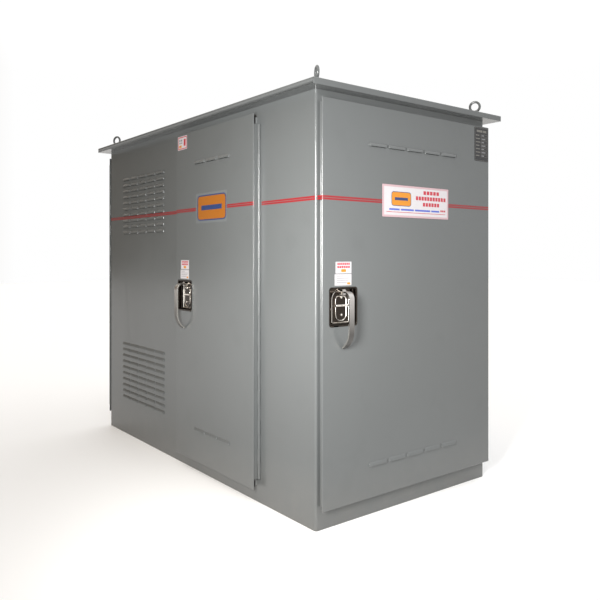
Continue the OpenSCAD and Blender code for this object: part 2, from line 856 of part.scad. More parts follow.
// ---------- breakers: x across, -y out of the pan, z up from the middle ----------

module breaker() color(dark) difference() {
    union() {
        block(-breaker_w / 2, breaker_w / 2, nose_d - breaker_d, 0,
              -breaker_h / 2, breaker_h / 2);
        block(-breaker_w / 2, breaker_w / 2, -breaker_d, 0, -nose_h / 2, nose_h / 2);
    }
    block(-pocket_w / 2, pocket_w / 2, -breaker_d - eps, nose_d + toggle_in - breaker_d,
          -pocket_h / 2, pocket_h / 2);
    translate([0, toggle_in - breaker_d, 0]) rotate([0, 90, 0])
        cylinder(r = axle_r + run_gap, h = pocket_w + 2 * axle_in + 2 * eps, center = true,
                 $fn = fine);
    for (pole = [-1 : 1], end = [-1, 1])
        translate([pole * pole_pitch, -breaker_d / 2, end * breaker_h / 2])
            cube(lug_bay, center = true);
}

module toggle() color(bright) translate([0, toggle_in - breaker_d, 0])
    rotate([-toggle_turn / 2, 0, 0]) {
        rotate([0, 90, 0])
            cylinder(r = toggle_r, h = pocket_w - 2 * eps, center = true, $fn = fine);
        rotate([0, 90, 0])
            cylinder(r = axle_r, h = pocket_w + 2 * axle_in, center = true, $fn = fine);
        block(-toggle_w / 2, toggle_w / 2, -toggle_in - toggle_out, 0,
              -toggle_t / 2, toggle_t / 2);
    }

module at_main() translate([main_x, front_pan_y, main_z]) children();
module at_feeder(row) translate([right_pan_x + sheet, feeder_y, feeder_z[row]])
    rotate(90) children();

module main_breaker() at_main() breaker();
module main_toggle() at_main() toggle();
module feeder_breakers() for (row = [0, 1]) at_feeder(row) breaker();
module feeder_toggle_1() at_feeder(0) toggle();
module feeder_toggle_2() at_feeder(1) toggle();

// ---------- doors, in the door's frame ----------

// Guide for a latch rod, from the inside of the door's face round the rod
module rod_guide(x, z) translate([x, 0, z]) {
    foot = run_gap - face_in;
    difference() {
        block(-guide_w / 2, guide_w / 2, foot, rod_in + rod_t + guide_past, 0, sheet);
        block(-rod_w / 2 - slip_gap, rod_w / 2 + slip_gap, rod_in - slip_gap,
              rod_in + rod_t + slip_gap, -eps, sheet + eps);
    }
    block(-guide_w / 2, guide_w / 2, foot, foot + sheet, 0, guide_foot);
}

// The face with its edge bends, then the four flanges behind it and the guides
module door(w, z0, cols, handle_x) color(paint) {
    h = door_top_z - z0;
    bend_end = door_bend - door_proud;
    difference() {
        union() {
            translate([0, 0, z0]) bent_box(w, h, door_proud, door_bend);
            for (z = [louvre_top_z, louvre_bottom_z])
                translate([0, -door_proud, z]) hoods(cols, 1, 0);
        }
        block(sheet - w / 2, w / 2 - sheet, -face_in, eps, z0 + sheet,
              door_top_z - sheet);
        block(-w, w, bend_end, eps, z0 - eps, door_top_z + eps);
        for (z = [louvre_top_z, louvre_bottom_z])
            translate([0, -door_proud, z]) hoods(cols, 1, hood_skin);
        translate([handle_x, 0, pan_z]) rotate([90, 0, 0])
            linear_extrude(door_proud + eps)
                round_rect(pan_w - 2 * (pan_rim - eps), pan_h - 2 * (pan_rim - eps),
                           pan_inner_corner + pan_t);
    }
    for (z = [z0, door_top_z - sheet])
        block(-w / 2, w / 2, bend_end + run_gap, -door_gap, z, z + sheet);
    for (side = [0, 1]) mirror([side, 0, 0])
        block(w / 2 - sheet, w / 2, bend_end + run_gap, -door_gap,
              z0 + sheet + run_gap, door_top_z - sheet - run_gap);
    for (z = [hub_z + guide_near[0], opening_top - guide_far])
        rod_guide(handle_x - rod_x, z);
    for (z = [hub_z - guide_near[1], z0 + door_lap + guide_far])
        rod_guide(handle_x + rod_x, z);
}

// Sponge strip inside the door's face, over the gutter lip
module seal(w, z0) color([0.1, 0.1, 0.1]) {
    mid = -sheet / 2;
    difference() {
        opening(w, z0, mid + seal_w / 2, -face_in, -lip_h - knuckle_gap);
        opening(w, z0, mid - seal_w / 2, -face_in - eps, 0);
    }
}

// Knuckles of one half of a hinge: even ones on the wall, odd ones on the door
module knuckle_row(w, z0, odd, web_x, web_y) {
    low = z0 + hinge_short;
    pitch = (door_top_z - hinge_short - low) / knuckles;
    for (i = [odd : 2 : knuckles - 1])
        translate([w / 2 + hinge_side, -hinge_out, low + i * pitch + knuckle_gap])
            difference() {
                union() {
                    cylinder(r = knuckle_r, h = pitch - 2 * knuckle_gap, $fn = fine);
                    block(web_x[0], web_x[1], web_y[0], web_y[1],
                          0, pitch - 2 * knuckle_gap);
                }
                translate([0, 0, -eps])
                    cylinder(r = pin_r + run_gap, h = pitch + 2 * eps, $fn = fine);
            }
}

module wall_leaf(w, z0) color(bright) {
    block(w / 2 + hinge_side - leaf_w, w / 2 + hinge_side + pin_r, -leaf_t, 0,
          z0 + hinge_short, door_top_z - hinge_short);
    knuckle_row(w, z0, 0, [-pin_r, pin_r], [pin_r + eps, hinge_out - leaf_t / 2]);
}

module door_leaf(w, z0) color(bright) {
    block(w / 2, w / 2 + leaf_t, -door_proud + door_bend + eps, -hinge_out - leaf_reach,
          z0 + hinge_short, door_top_z - hinge_short);
    knuckle_row(w, z0, 1, [-hinge_side, -pin_r - slip_gap], [-knuckle_web, 0]);
}

module hinge_pin(w, z0) color(bright)
    translate([w / 2 + hinge_side, -hinge_out, z0 + hinge_short])
        cylinder(r = pin_r, h = door_top_z - z0 - 2 * hinge_short, $fn = fine);

// Recessed pan with its rim on the door's face, the lock bar inside it and the
// spindle's bearing behind it
module handle_pan(handle_x) color(bright) translate([handle_x, 0, pan_z]) {
    deep_w = pan_w - 2 * pan_rim;
    deep_h = pan_h - 2 * pan_rim;
    rotate([90, 0, 0]) translate([0, 0, door_proud]) linear_extrude(pan_t)
        difference() {
            round_rect(pan_w, pan_h, pan_corner);
            round_rect(deep_w - 2 * pan_t, deep_h - 2 * pan_t, pan_inner_corner);
        }
    difference() {
        union() {
            difference() {
                rotate([90, 0, 0]) translate([0, 0, -pan_back - pan_t])
                    linear_extrude(pan_depth + pan_t - run_gap)
                        round_rect(deep_w, deep_h, pan_inner_corner + eps);
                rotate([90, 0, 0]) translate([0, 0, -pan_back])
                    linear_extrude(pan_depth + eps)
                        round_rect(deep_w - 2 * pan_t, deep_h - 2 * pan_t,
                                   pan_inner_corner);
            }
            translate([0, pan_back - plate_t, -plate_drop]) rotate([-90, 0, 0])
                linear_extrude(plate_t + eps)
                    round_rect(plate_size[0], plate_size[1], plate_corner);
            translate([0, pan_back - plate_t - lock_bar[1] / 2 + eps, 0])
                cube(lock_bar, center = true);
            for (z = bolt_z) translate([0, pan_back - 2 * plate_t, z])
                rotate([-90, 0, 0]) cylinder(r = bolt_r, h = plate_t + eps, $fn = small);
            translate([0, pan_back, hub_rise]) rotate([-90, 0, 0])
                cylinder(r = hub_r - 1, h = cam_in - slip_gap - pan_back, $fn = fine);
        }
        translate([0, 0, hub_rise]) rotate([90, 0, 0])
            cylinder(r = spindle_r + run_gap, h = 2 * door_proud, center = true,
                     $fn = fine);
        translate([0, pan_back, hub_rise]) rotate([90, 0, 0])
            cylinder(r = hub_r + slip_gap, h = pan_depth, $fn = fine);
    }
}

// Side view of the lever's strap: out of the hub, over and down, in at the tip
module lever_side() {
    top_r = 35;
    tip_r = 110;
    tip_turn = 60;
    reach = door_proud + lever_proud - lever_t / 2;
    tip_z = tip_r * sin(tip_turn) - lever_len;
    half = lever_t / 2;
    outer = concat([[-strap_start, half]],
        [for (a = [0 : 10 : 90])
            [top_r - reach - (top_r + half) * sin(a), (top_r + half) * cos(a) - top_r]],
        [for (a = [0 : 6 : tip_turn])
            [tip_r - reach - (tip_r + half) * cos(a), tip_z - (tip_r + half) * sin(a)]]);
    inner = concat(
        [for (a = [tip_turn : -6 : 0])
            [tip_r - reach - (tip_r - half) * cos(a), tip_z - (tip_r - half) * sin(a)]],
        [for (a = [90 : -10 : 0])
            [top_r - reach - (top_r - half) * sin(a), (top_r - half) * cos(a) - top_r]],
        [[-strap_start, -half]]);
    polygon(concat(outer, inner));
}

module handle(handle_x) translate([handle_x, 0, hub_z]) {
    color(bright) {
        translate([-lever_w / 2, 0, 0]) rotate([90, 0, 90])
            linear_extrude(lever_w) lever_side();
        translate([0, pan_back - slip_gap, 0]) rotate([90, 0, 0])
            cylinder(r = hub_r, h = hub_out + pan_back - slip_gap, $fn = fine);
        translate([0, cam_in, 0]) rotate([90, 0, 0])
            cylinder(r = spindle_r, h = cam_in - pan_back + eps, $fn = fine);
    }
    color(dark) rotate([-90, 0, 0]) translate([0, 0, cam_in]) {
        rotate(45) linear_extrude(cam_t) {
            square([2 * cam_r, 2 * cam_end_r], center = true);
            for (side = [-1, 1]) translate([side * cam_r, 0])
                circle(r = cam_end_r, $fn = fine);
        }
        for (side = [-1, 1]) translate([side * pin_drop, side * pin_drop, 0])
            cylinder(r = rod_pin_r, h = rod_in + rod_t + 2 * eps - cam_in, $fn = fine);
    }
}

// Flat rod up from the cam's pin to z_tip, with a slotted head; side -1 is down
module latch_rod(handle_x, z_tip, side) color(bright) translate([handle_x, rod_in, 0]) {
    head_z = hub_z + side * pin_drop;
    low = min(head_z, z_tip);
    far = -side * max(rod_x + rod_w / 2, cam_r + rod_pin_r + slot_play + slot_wall);
    near = -side * (pin_drop - rod_pin_r - slot_play - slot_wall);
    difference() {
        union() {
            block(-side * rod_x - rod_w / 2, -side * rod_x + rod_w / 2, 0, rod_t,
                  low, low + abs(z_tip - head_z));
            block(min(far, near), max(far, near), 0, rod_t,
                  head_z - head_h / 2, head_z + head_h / 2);
        }
        translate([-side * (pin_drop + cam_r) / 2, -eps, head_z]) rotate([-90, 0, 0])
            linear_extrude(rod_t + 2 * eps)
                round_rect(cam_r - pin_drop + 2 * (rod_pin_r + slot_play),
                           2 * (rod_pin_r + slot_play), rod_pin_r + slot_play - 0.01);
    }
}

module top_rod(handle_x) latch_rod(handle_x, opening_top - sheet + rod_reach, 1);
module bottom_rod(handle_x, z0)
    latch_rod(handle_x, z0 + door_lap + sheet - rod_reach, -1);

// Wear plates on the inside of the header and sill, in front of the rod tips
module strike_pair(handle_x, z0) color(bright) {
    depth = rod_in - slip_gap;
    translate([handle_x - rod_x, 0, opening_top])
        block(-strike_w / 2, strike_w / 2, sheet, depth, 0, strike_h);
    translate([handle_x + rod_x, 0, z0 + door_lap])
        block(-strike_w / 2, strike_w / 2, sheet, depth, -strike_h, 0);
}

// Each door's pieces in place
module hinge_wall_leaves() {
    at_front() wall_leaf(front_door_w, front_door_z);
    at_right() wall_leaf(end_door_w, end_door_z);
    at_left() wall_leaf(end_door_w, end_door_z);
}

module hinge_pins() {
    at_front() hinge_pin(front_door_w, front_door_z);
    at_right() hinge_pin(end_door_w, end_door_z);
    at_left() hinge_pin(end_door_w, end_door_z);
}

module strikes() {
    at_front() strike_pair(front_handle_x, front_door_z);
    at_right() strike_pair(end_handle_x, end_door_z);
    at_left() strike_pair(end_handle_x, end_door_z);
}

module front_door() at_front() door(front_door_w, front_door_z, 3, front_handle_x);
module front_door_seal() at_front() seal(front_door_w, front_door_z);
module front_hinge_leaf() at_front() door_leaf(front_door_w, front_door_z);
module front_handle_pan() at_front() handle_pan(front_handle_x);
module front_handle() at_front() handle(front_handle_x);
module front_top_rod() at_front() top_rod(front_handle_x);
module front_bottom_rod() at_front() bottom_rod(front_handle_x, front_door_z);

module right_door() at_right() door(end_door_w, end_door_z, 5, end_handle_x);
module right_door_seal() at_right() seal(end_door_w, end_door_z);
module right_hinge_leaf() at_right() door_leaf(end_door_w, end_door_z);
module right_handle_pan() at_right() handle_pan(end_handle_x);
module right_handle() at_right() handle(end_handle_x);
module right_top_rod() at_right() top_rod(end_handle_x);
module right_bottom_rod() at_right() bottom_rod(end_handle_x, end_door_z);

// Name board and rating plate on the face of the right door
module door_plate(size, at)
    translate([at[0], -size[1] / 2, at[1]]) cube(size, center = true);

module right_door_plates() at_right() translate([0, -door_proud, 0]) {
    color("white") door_plate(board_size, board_at);
    color([0.05, 0.05, 0.05]) door_plate(rating_size, rating_at);
}

module left_door() at_left() door(end_door_w, end_door_z, 5, end_handle_x);
module left_door_seal() at_left() seal(end_door_w, end_door_z);
module left_hinge_leaf() at_left() door_leaf(end_door_w, end_door_z);
module left_handle_pan() at_left() handle_pan(end_handle_x);
module left_handle() at_left() handle(end_handle_x);
module left_top_rod() at_left() top_rod(end_handle_x);
module left_bottom_rod() at_left() bottom_rod(end_handle_x, end_door_z);

base_frame();
floor_plate();
gland_plates();
corner_posts();
front_panel();
rear_panel();
rear_cover();
rear_cover_screws();
right_end_frame();
left_end_frame();
roof_cap();
lifting_eyes();
left_partition();
right_partition();
core();
lv_windings();
hv_windings();
core_clamps();
core_rails();
vibration_pads();
tie_rods();
coil_blocks();
hv_links();
lv_busbars();
front_back_pan();
main_breaker();
main_toggle();
right_back_pan();
feeder_breakers();
feeder_toggle_1();
feeder_toggle_2();
feeder_busbars();
neutral_bar();
ground_bar();
hinge_wall_leaves();
hinge_pins();
strikes();
front_door();
front_door_seal();
front_hinge_leaf();
front_handle_pan();
front_handle();
front_top_rod();
front_bottom_rod();
right_door();
right_door_seal();
right_hinge_leaf();
right_handle_pan();
right_handle();
right_top_rod();
right_bottom_rod();
right_door_plates();
left_door();
left_door_seal();
left_hinge_leaf();
left_handle_pan();
left_handle();
left_top_rod();
left_bottom_rod();
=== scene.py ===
# Free-standing power distribution enclosure: its paint, tapes, plates and handles, and the
# transformer and switchgear behind its doors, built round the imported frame. Metres.
import json
import math

import bpy
from mathutils import Matrix, Vector


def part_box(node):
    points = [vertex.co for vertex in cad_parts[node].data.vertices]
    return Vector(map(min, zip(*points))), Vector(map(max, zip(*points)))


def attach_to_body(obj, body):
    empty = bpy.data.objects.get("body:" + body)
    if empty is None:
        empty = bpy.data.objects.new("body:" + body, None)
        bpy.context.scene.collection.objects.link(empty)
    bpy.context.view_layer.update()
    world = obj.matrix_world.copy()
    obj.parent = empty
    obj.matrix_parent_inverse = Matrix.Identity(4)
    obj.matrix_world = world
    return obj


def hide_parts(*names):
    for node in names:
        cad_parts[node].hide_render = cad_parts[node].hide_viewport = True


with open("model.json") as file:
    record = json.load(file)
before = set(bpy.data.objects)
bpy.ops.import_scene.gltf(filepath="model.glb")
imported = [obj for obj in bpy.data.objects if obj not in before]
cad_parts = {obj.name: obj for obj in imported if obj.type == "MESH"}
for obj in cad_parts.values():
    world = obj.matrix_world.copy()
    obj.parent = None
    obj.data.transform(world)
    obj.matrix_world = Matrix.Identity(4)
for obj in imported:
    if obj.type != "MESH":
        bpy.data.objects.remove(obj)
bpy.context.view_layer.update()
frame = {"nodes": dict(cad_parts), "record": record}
nodes = frame["nodes"]

# ---- Camera, floor and light ----
# The camera stands level at eye height off the front right corner. A pale floor and a white
# surround, brighter overhead and dim and warm to the front, light the sheet metal softly, and
# a soft box by the near corner brightens it there.
camera_data = bpy.data.cameras.new("camera")
camera = bpy.data.objects.new("camera", camera_data)
bpy.context.scene.collection.objects.link(camera)
camera.location = (3.941, -2.819, 1.411)
looking = Vector((-0.7887, 0.6148, 0.0))
camera.rotation_euler = looking.to_track_quat("-Z", "Y").to_euler()
camera_data.lens = 39.65
camera_data.shift_y = -0.0758
bpy.context.scene.camera = camera


def soft_box(name, place, aim, width, height, watts, tint):
    """An area lamp at place that shines towards aim, held to a cone."""
    lamp = bpy.data.lights.new(name, "AREA")
    lamp.shape = "RECTANGLE"
    lamp.size, lamp.size_y, lamp.energy, lamp.color = width, height, watts, tint
    lamp.spread = math.radians(75)
    holder = bpy.data.objects.new(name, lamp)
    bpy.context.scene.collection.objects.link(holder)
    holder.location = place
    holder.rotation_euler = (Vector(aim) - Vector(place)).to_track_quat("-Z", "Y").to_euler()


def blend_colors(tree, factor, first, second):
    """first where factor is 0, second where it is 1; each a color or a socket."""
    mix = tree.nodes.new("ShaderNodeMix")
    mix.data_type = "RGBA"
    tree.links.new(factor, mix.inputs["Factor"])
    for socket, color in ((mix.inputs[6], first), (mix.inputs[7], second)):
        if isinstance(color, tuple):
            socket.default_value = (*color, 1)
        else:
            tree.links.new(color, socket)
    return mix.outputs[2]


def spread(tree, value, low, high, to_low, to_high):
    """value mapped from low..high to to_low..to_high, held at both ends."""
    mapped = tree.nodes.new("ShaderNodeMapRange")
    for socket, number in zip(mapped.inputs[1:5], (low, high, to_low, to_high)):
        socket.default_value = number
    tree.links.new(value, mapped.inputs["Value"])
    return mapped.outputs["Result"]


soft_box("corner_light", place=(2.8, -3.0, 1.7), aim=(1.3, -0.75, 1.35), width=0.7, height=1.3,
         watts=62, tint=(1, 0.99, 0.97))

world = bpy.data.worlds.new("studio")
world.use_nodes = True
sky = world.node_tree
toward = sky.nodes.new("ShaderNodeTexCoord").outputs["Generated"]
level = sky.nodes.new("ShaderNodeSeparateXYZ")
sky.links.new(toward, level.inputs[0])
overhead = spread(sky, level.outputs["Z"], 0.25, 0.95, 0.0, 0.6)
facing = sky.nodes.new("ShaderNodeVectorMath")
facing.operation = "DOT_PRODUCT"
facing.inputs[1].default_value = (-0.30, -0.95, 0)
sky.links.new(toward, facing.inputs[0])
dim_side = spread(sky, facing.outputs["Value"], 0.05, 0.60, 1.0, 0.20)
total = sky.nodes.new("ShaderNodeMath")
sky.links.new(overhead, total.inputs[0])
sky.links.new(dim_side, total.inputs[1])
sky.links.new(total.outputs[0], sky.nodes["Background"].inputs["Strength"])
sky.links.new(blend_colors(sky, dim_side, (1.0, 0.80, 0.58), (1, 1, 1)),
              sky.nodes["Background"].inputs["Color"])
bpy.context.scene.world = world
bpy.context.scene.view_settings.view_transform = "Standard"

bpy.ops.object.select_all(action="DESELECT")
bpy.ops.mesh.primitive_grid_add(x_subdivisions=4, y_subdivisions=4, size=60)
floor = bpy.context.object
floor.name = "floor"
floor_paint = bpy.data.materials.new("pale_floor")
floor_paint.use_nodes = True
shader = floor_paint.node_tree.nodes["Principled BSDF"]
shader.inputs["Base Color"].default_value = (0.95, 0.95, 0.95, 1)
shader.inputs["Roughness"].default_value = 0.75
floor.data.materials.append(floor_paint)


# ---- Painted housing ----
# Folded and welded steel sheet, degreased and sprayed with grey enamel. The sheet waves a
# little, the paint has a fine orange peel, dust gathers low down and patches have dulled.
def new_finish(name, color, rough, metal=0.0):
    """A material, its node tree and its shader."""
    finish = bpy.data.materials.new(name)
    finish.use_nodes = True
    tree = finish.node_tree
    bsdf = tree.nodes["Principled BSDF"]
    bsdf.inputs["Base Color"].default_value = (*color, 1)
    bsdf.inputs["Roughness"].default_value = rough
    bsdf.inputs["Metallic"].default_value = metal
    return finish, tree, bsdf


def place_of(tree, stretch=(1, 1, 1)):
    """Object coordinates, stretched along the axes."""
    where = tree.nodes.new("ShaderNodeTexCoord")
    mapping = tree.nodes.new("ShaderNodeMapping")
    mapping.inputs["Scale"].default_value = stretch
    tree.links.new(where.outputs["Object"], mapping.inputs["Vector"])
    return mapping.outputs["Vector"]


def noise(tree, place, scale, detail=3.0, rough=0.5):
    texture = tree.nodes.new("ShaderNodeTexNoise")
    texture.inputs["Scale"].default_value = scale
    texture.inputs["Detail"].default_value = detail
    texture.inputs["Roughness"].default_value = rough
    tree.links.new(place, texture.inputs["Vector"])
    return texture.outputs["Fac"]


def times(tree, first, second):
    product = tree.nodes.new("ShaderNodeMath")
    product.operation = "MULTIPLY"
    for socket, value in zip(product.inputs, (first, second)):
        tree.links.new(value, socket)
    return product.outputs[0]


def relief(tree, bsdf, height, strength, depth, below=None):
    """Bump from height, on top of the bump below, if any."""
    bump = tree.nodes.new("ShaderNodeBump")
    bump.inputs["Strength"].default_value = strength
    bump.inputs["Distance"].default_value = depth
    tree.links.new(height, bump.inputs["Height"])
    if below is not None:
        tree.links.new(below, bump.inputs["Normal"])
    tree.links.new(bump.outputs["Normal"], bsdf.inputs["Normal"])
    return bump.outputs["Normal"]


def make_enamel(name, color):
    finish, tree, bsdf = new_finish(name, color, 0.32)
    place = place_of(tree)
    dull = tuple(c * 0.90 for c in color)
    tone = blend_colors(tree, noise(tree, place, 1.3, 4), dull, color)
    height = tree.nodes.new("ShaderNodeSeparateXYZ")
    tree.links.new(place, height.inputs[0])
    low_down = spread(tree, height.outputs["Z"], 0.0, 0.32, 0.45, 0.0)
    dust = times(tree, low_down, noise(tree, place, 9.0, 6, 0.65))
    tone = blend_colors(tree, dust, tone, (0.16, 0.15, 0.135))
    handled = spread(tree, noise(tree, place, 4.5, 3), 0.58, 0.75, 0.0, 0.35)
    tone = blend_colors(tree, handled, tone, tuple(c * 0.84 for c in color))
    tree.links.new(tone, bsdf.inputs["Base Color"])
    gloss = spread(tree, noise(tree, place, 2.1, 5, 0.6), 0.3, 0.7, 0.17, 0.25)
    tree.links.new(gloss, bsdf.inputs["Roughness"])
    waves = relief(tree, bsdf, noise(tree, place, 1.7, 1), 0.25, 0.012)
    relief(tree, bsdf, noise(tree, place, 330.0, 2), 0.10, 0.0004, waves)
    bsdf.inputs["Specular IOR Level"].default_value = 0.5
    return finish


def only(piece):
    """Makes piece the one that the operators act on."""
    bpy.ops.object.select_all(action="DESELECT")
    piece.select_set(True)
    bpy.context.view_layer.objects.active = piece


def whole_mesh():
    """Into edit mode, with all of the mesh selected."""
    bpy.ops.object.mode_set(mode="EDIT")
    bpy.ops.mesh.select_all(action="SELECT")


def round_edges(piece, width, steps=2, angle=35):
    """Rounds the sharp edges of a piece, and shades it smooth between them."""
    only(piece)
    if width > 0:
        bevel = piece.modifiers.new("edges", "BEVEL")
        bevel.width, bevel.segments = width, steps
        bevel.limit_method, bevel.angle_limit = "ANGLE", math.radians(angle)
        bevel.use_clamp_overlap = True
        bpy.ops.object.modifier_apply(modifier="edges")
    bpy.ops.object.shade_smooth_by_angle(angle=math.radians(angle))
    flat = piece.modifiers.new("flat_faces", "WEIGHTED_NORMAL")
    flat.keep_sharp = True
    flat.weight = 100
    bpy.ops.object.modifier_apply(modifier="flat_faces")


def body_of(node):
    bodies = frame["record"]["behaviour"]["bodies"]
    return next(body for body, members in bodies.items() if node in members)


def settle(piece, node, finish):
    """piece stands for a CAD node, rides where it rides, and takes its finish."""
    piece.data.materials.clear()
    piece.data.materials.append(finish)
    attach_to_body(piece, body_of(node))
    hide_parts(node)


def merged_copy(node, name):
    """A copy of a CAD node whose triangles are joined into whole faces."""
    piece = bpy.data.objects.new(name, nodes[node].data.copy())
    bpy.context.scene.collection.objects.link(piece)
    only(piece)
    whole_mesh()
    bpy.ops.mesh.remove_doubles(threshold=0.0001)
    bpy.ops.mesh.select_mode(type="FACE")
    bpy.ops.mesh.select_all(action="DESELECT")
    bpy.ops.mesh.select_interior_faces()
    bpy.ops.mesh.delete(type="FACE")
    bpy.ops.mesh.select_all(action="SELECT")
    bpy.ops.mesh.dissolve_limited(angle_limit=math.radians(0.6))
    bpy.ops.object.mode_set(mode="OBJECT")
    return piece


def refined(node, finish, bevel=0.0, steps=2):
    """Stands a merged copy with rounded edges in for a CAD node."""
    piece = merged_copy(node, node + "_made")
    round_edges(piece, bevel, steps)
    settle(piece, node, finish)


enamel = make_enamel("grey_enamel", (0.093, 0.099, 0.100))
for painted_part in ("front_panel", "rear_panel", "rear_cover", "right_end_frame",
                     "left_end_frame", "roof_cap", "base_frame", "floor_plate", "corner_posts",
                     "lifting_eyes"):
    refined(painted_part, enamel)

# ---- Doors ----
# Each door is one sheet with its four edges bent in, welded at the corners and sprayed with
# the same enamel as the walls. The rod guides inside are folded angles, plug welded on.
for side in ("front", "right", "left"):
    refined(side + "_door", enamel)

# ---- Door seals ----
# Closed-cell black sponge strip, glued round the inside of each door's face, so that it
# closes on the lip of the opening.
sponge, tree, bsdf = new_finish("sponge_rubber", (0.018, 0.018, 0.019), 0.85)
place = place_of(tree)
pores = noise(tree, place, 900.0, 3, 0.7)
tree.links.new(blend_colors(tree, pores, (0.008, 0.008, 0.009), (0.030, 0.030, 0.031)),
               bsdf.inputs["Base Color"])
relief(tree, bsdf, pores, 0.5, 0.0006)
for side in ("front", "right", "left"):
    refined(side + "_door_seal", sponge, 0.002)

# ---- Hinges ----
# Continuous hinges: a leaf on the wall and a leaf on the door's edge with rolled knuckles,
# painted over with the housing, and a plain zinc-plated pin through all the knuckles.
def brushed(name, color, rough, grain=(1, 1, 1), fine=240.0, depth=0.00012):
    """Bare metal with a directional grain and slightly uneven gloss."""
    finish, tree, bsdf = new_finish(name, color, rough, 1.0)
    streaks = noise(tree, place_of(tree, grain), fine, 4, 0.6)
    cloud = noise(tree, place_of(tree), 6.0, 4, 0.6)
    dim = tuple(c * 0.82 for c in color)
    tree.links.new(blend_colors(tree, cloud, dim, color), bsdf.inputs["Base Color"])
    tree.links.new(spread(tree, streaks, 0.3, 0.7, rough * 0.75, rough * 1.25),
                   bsdf.inputs["Roughness"])
    relief(tree, bsdf, streaks, 0.3, depth)
    return finish


zinc = brushed("zinc_plate", (0.62, 0.61, 0.57), 0.38, fine=60.0)
refined("hinge_wall_leaves", enamel, 0.0003, 1)
for side in ("front", "right", "left"):
    refined(side + "_hinge_leaf", enamel, 0.0003, 1)
refined("hinge_pins", zinc, 0.0005)

# ---- Warning tape ----
# Two 9 mm lines of red vinyl tape with a narrow gap run level round the whole housing,
# stuck over walls and doors alike and cut short at the plates.
tape_low, tape_wide, tape_gap, tape_thick = 1.690, 0.009, 0.003, 0.00025
corner, door_round, door_lip, cover_thick = 0.014, 0.005, 0.040, 0.003
tape_red = (0.18, 0.007, 0.010)
red_vinyl, tree, bsdf = new_finish("red_vinyl", tape_red, 0.34)
worn = spread(tree, noise(tree, place_of(tree, (1, 1, 6)), 26.0, 6, 0.7), 0.60, 0.78, 0, 0.5)
tree.links.new(blend_colors(tree, worn, tape_red, (0.20, 0.045, 0.040)),
               bsdf.inputs["Base Color"])
relief(tree, bsdf, noise(tree, place_of(tree), 120.0, 2), 0.1, 0.0002)


def pick_points(piece, test):
    """Into edit mode with the points that pass test selected, and nothing else."""
    bpy.ops.object.mode_set(mode="OBJECT")
    bpy.context.tool_settings.mesh_select_mode = (True, False, False)
    for face in piece.data.polygons:
        face.select = False
    for edge in piece.data.edges:
        edge.select = False
    for point in piece.data.vertices:
        point.select = bool(test(point.co))
    bpy.ops.object.mode_set(mode="EDIT")


def pick_faces(piece, test):
    """Into edit mode with the faces that pass test(centre, normal) selected."""
    bpy.ops.object.mode_set(mode="OBJECT")
    bpy.context.tool_settings.mesh_select_mode = (False, False, True)
    for point in piece.data.vertices:
        point.select = False
    for edge in piece.data.edges:
        edge.select = False
    for face in piece.data.polygons:
        face.select = bool(test(face.center, face.normal))
    bpy.ops.object.mode_set(mode="EDIT")


def upright(name, low, high, depth):
    """A flat blank facing -Y between two corners (x, z), as its own object."""
    bpy.ops.object.select_all(action="DESELECT")
    bpy.ops.mesh.primitive_plane_add(
        size=1, location=((low[0] + high[0]) / 2, depth, (low[1] + high[1]) / 2),
        rotation=(math.pi / 2, 0, 0))
    piece = bpy.context.object
    piece.name = name
    piece.scale = (high[0] - low[0], high[1] - low[1], 1)
    bpy.ops.object.transform_apply(location=True, rotation=True, scale=True)
    return piece


def hang(piece, where):
    """Moves a piece made in a door's own frame to its place in the mesh."""
    only(piece)
    piece.matrix_world = where
    bpy.ops.object.transform_apply(location=True, rotation=True, scale=True)


def lay_tape(name, route, body, where=Matrix()):
    """Both lines along route, points (x, y) with the outside on the right hand."""
    for line in (0, 1):
        low = tape_low + line * (tape_wide + tape_gap)
        first, second = Vector(route[0]), Vector(route[1])
        length = (second - first).length
        tape = upright(f"{name}_{line + 1}", (0, low), (length, low + tape_wide), 0)
        heading = math.atan2(second.y - first.y, second.x - first.x)
        hang(tape, Matrix.Translation((first.x, first.y, 0)) @ Matrix.Rotation(heading, 4, "Z"))
        for here, there in zip(route[1:], route[2:]):
            pick_points(tape, lambda p: (p.xy - Vector(here)).length < 1e-5)
            step = Vector(there) - Vector(here)
            bpy.ops.mesh.extrude_region_move(
                TRANSFORM_OT_translate={"value": (step.x, step.y, 0)})
        bpy.ops.object.mode_set(mode="OBJECT")
        hang(tape, where)
        thick = tape.modifiers.new("thick", "SOLIDIFY")
        thick.thickness, thick.offset = tape_thick, 1
        bpy.ops.object.modifier_apply(modifier="thick")
        bpy.ops.object.shade_smooth_by_angle(angle=math.radians(30))
        tape.data.materials.append(red_vinyl)
        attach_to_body(tape, body)


def bend(middle, radius, start, stop, steps=5):
    """Points round a bend, angles in degrees."""
    angles = [start + (stop - start) * i / steps for i in range(steps + 1)]
    return [(middle[0] + radius * math.cos(math.radians(a)),
             middle[1] + radius * math.sin(math.radians(a))) for a in angles]


def door_place(side):
    """A door's own frame, x across its face and -Y out of it; half its width; its pan's
    middle in that frame."""
    turn = {"front": 0, "right": 90, "left": -90}[side]
    low, high = (Vector(c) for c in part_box(side + "_door"))
    rim_low, rim_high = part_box(side + "_handle_pan")
    middle = (low + high) / 2
    spot = {"front": (middle.x, rim_low[1] + 0.002, 0),
            "right": (rim_high[0] - 0.002, middle.y, 0),
            "left": (rim_low[0] + 0.002, middle.y, 0)}[side]
    half = (high.x - low.x) / 2 if side == "front" else (high.y - low.y) / 2
    where = Matrix.Translation(spot) @ Matrix.Rotation(math.radians(turn), 4, "Z")
    pan_middle = where.inverted() @ ((Vector(rim_low) + Vector(rim_high)) / 2)
    return where, half, pan_middle


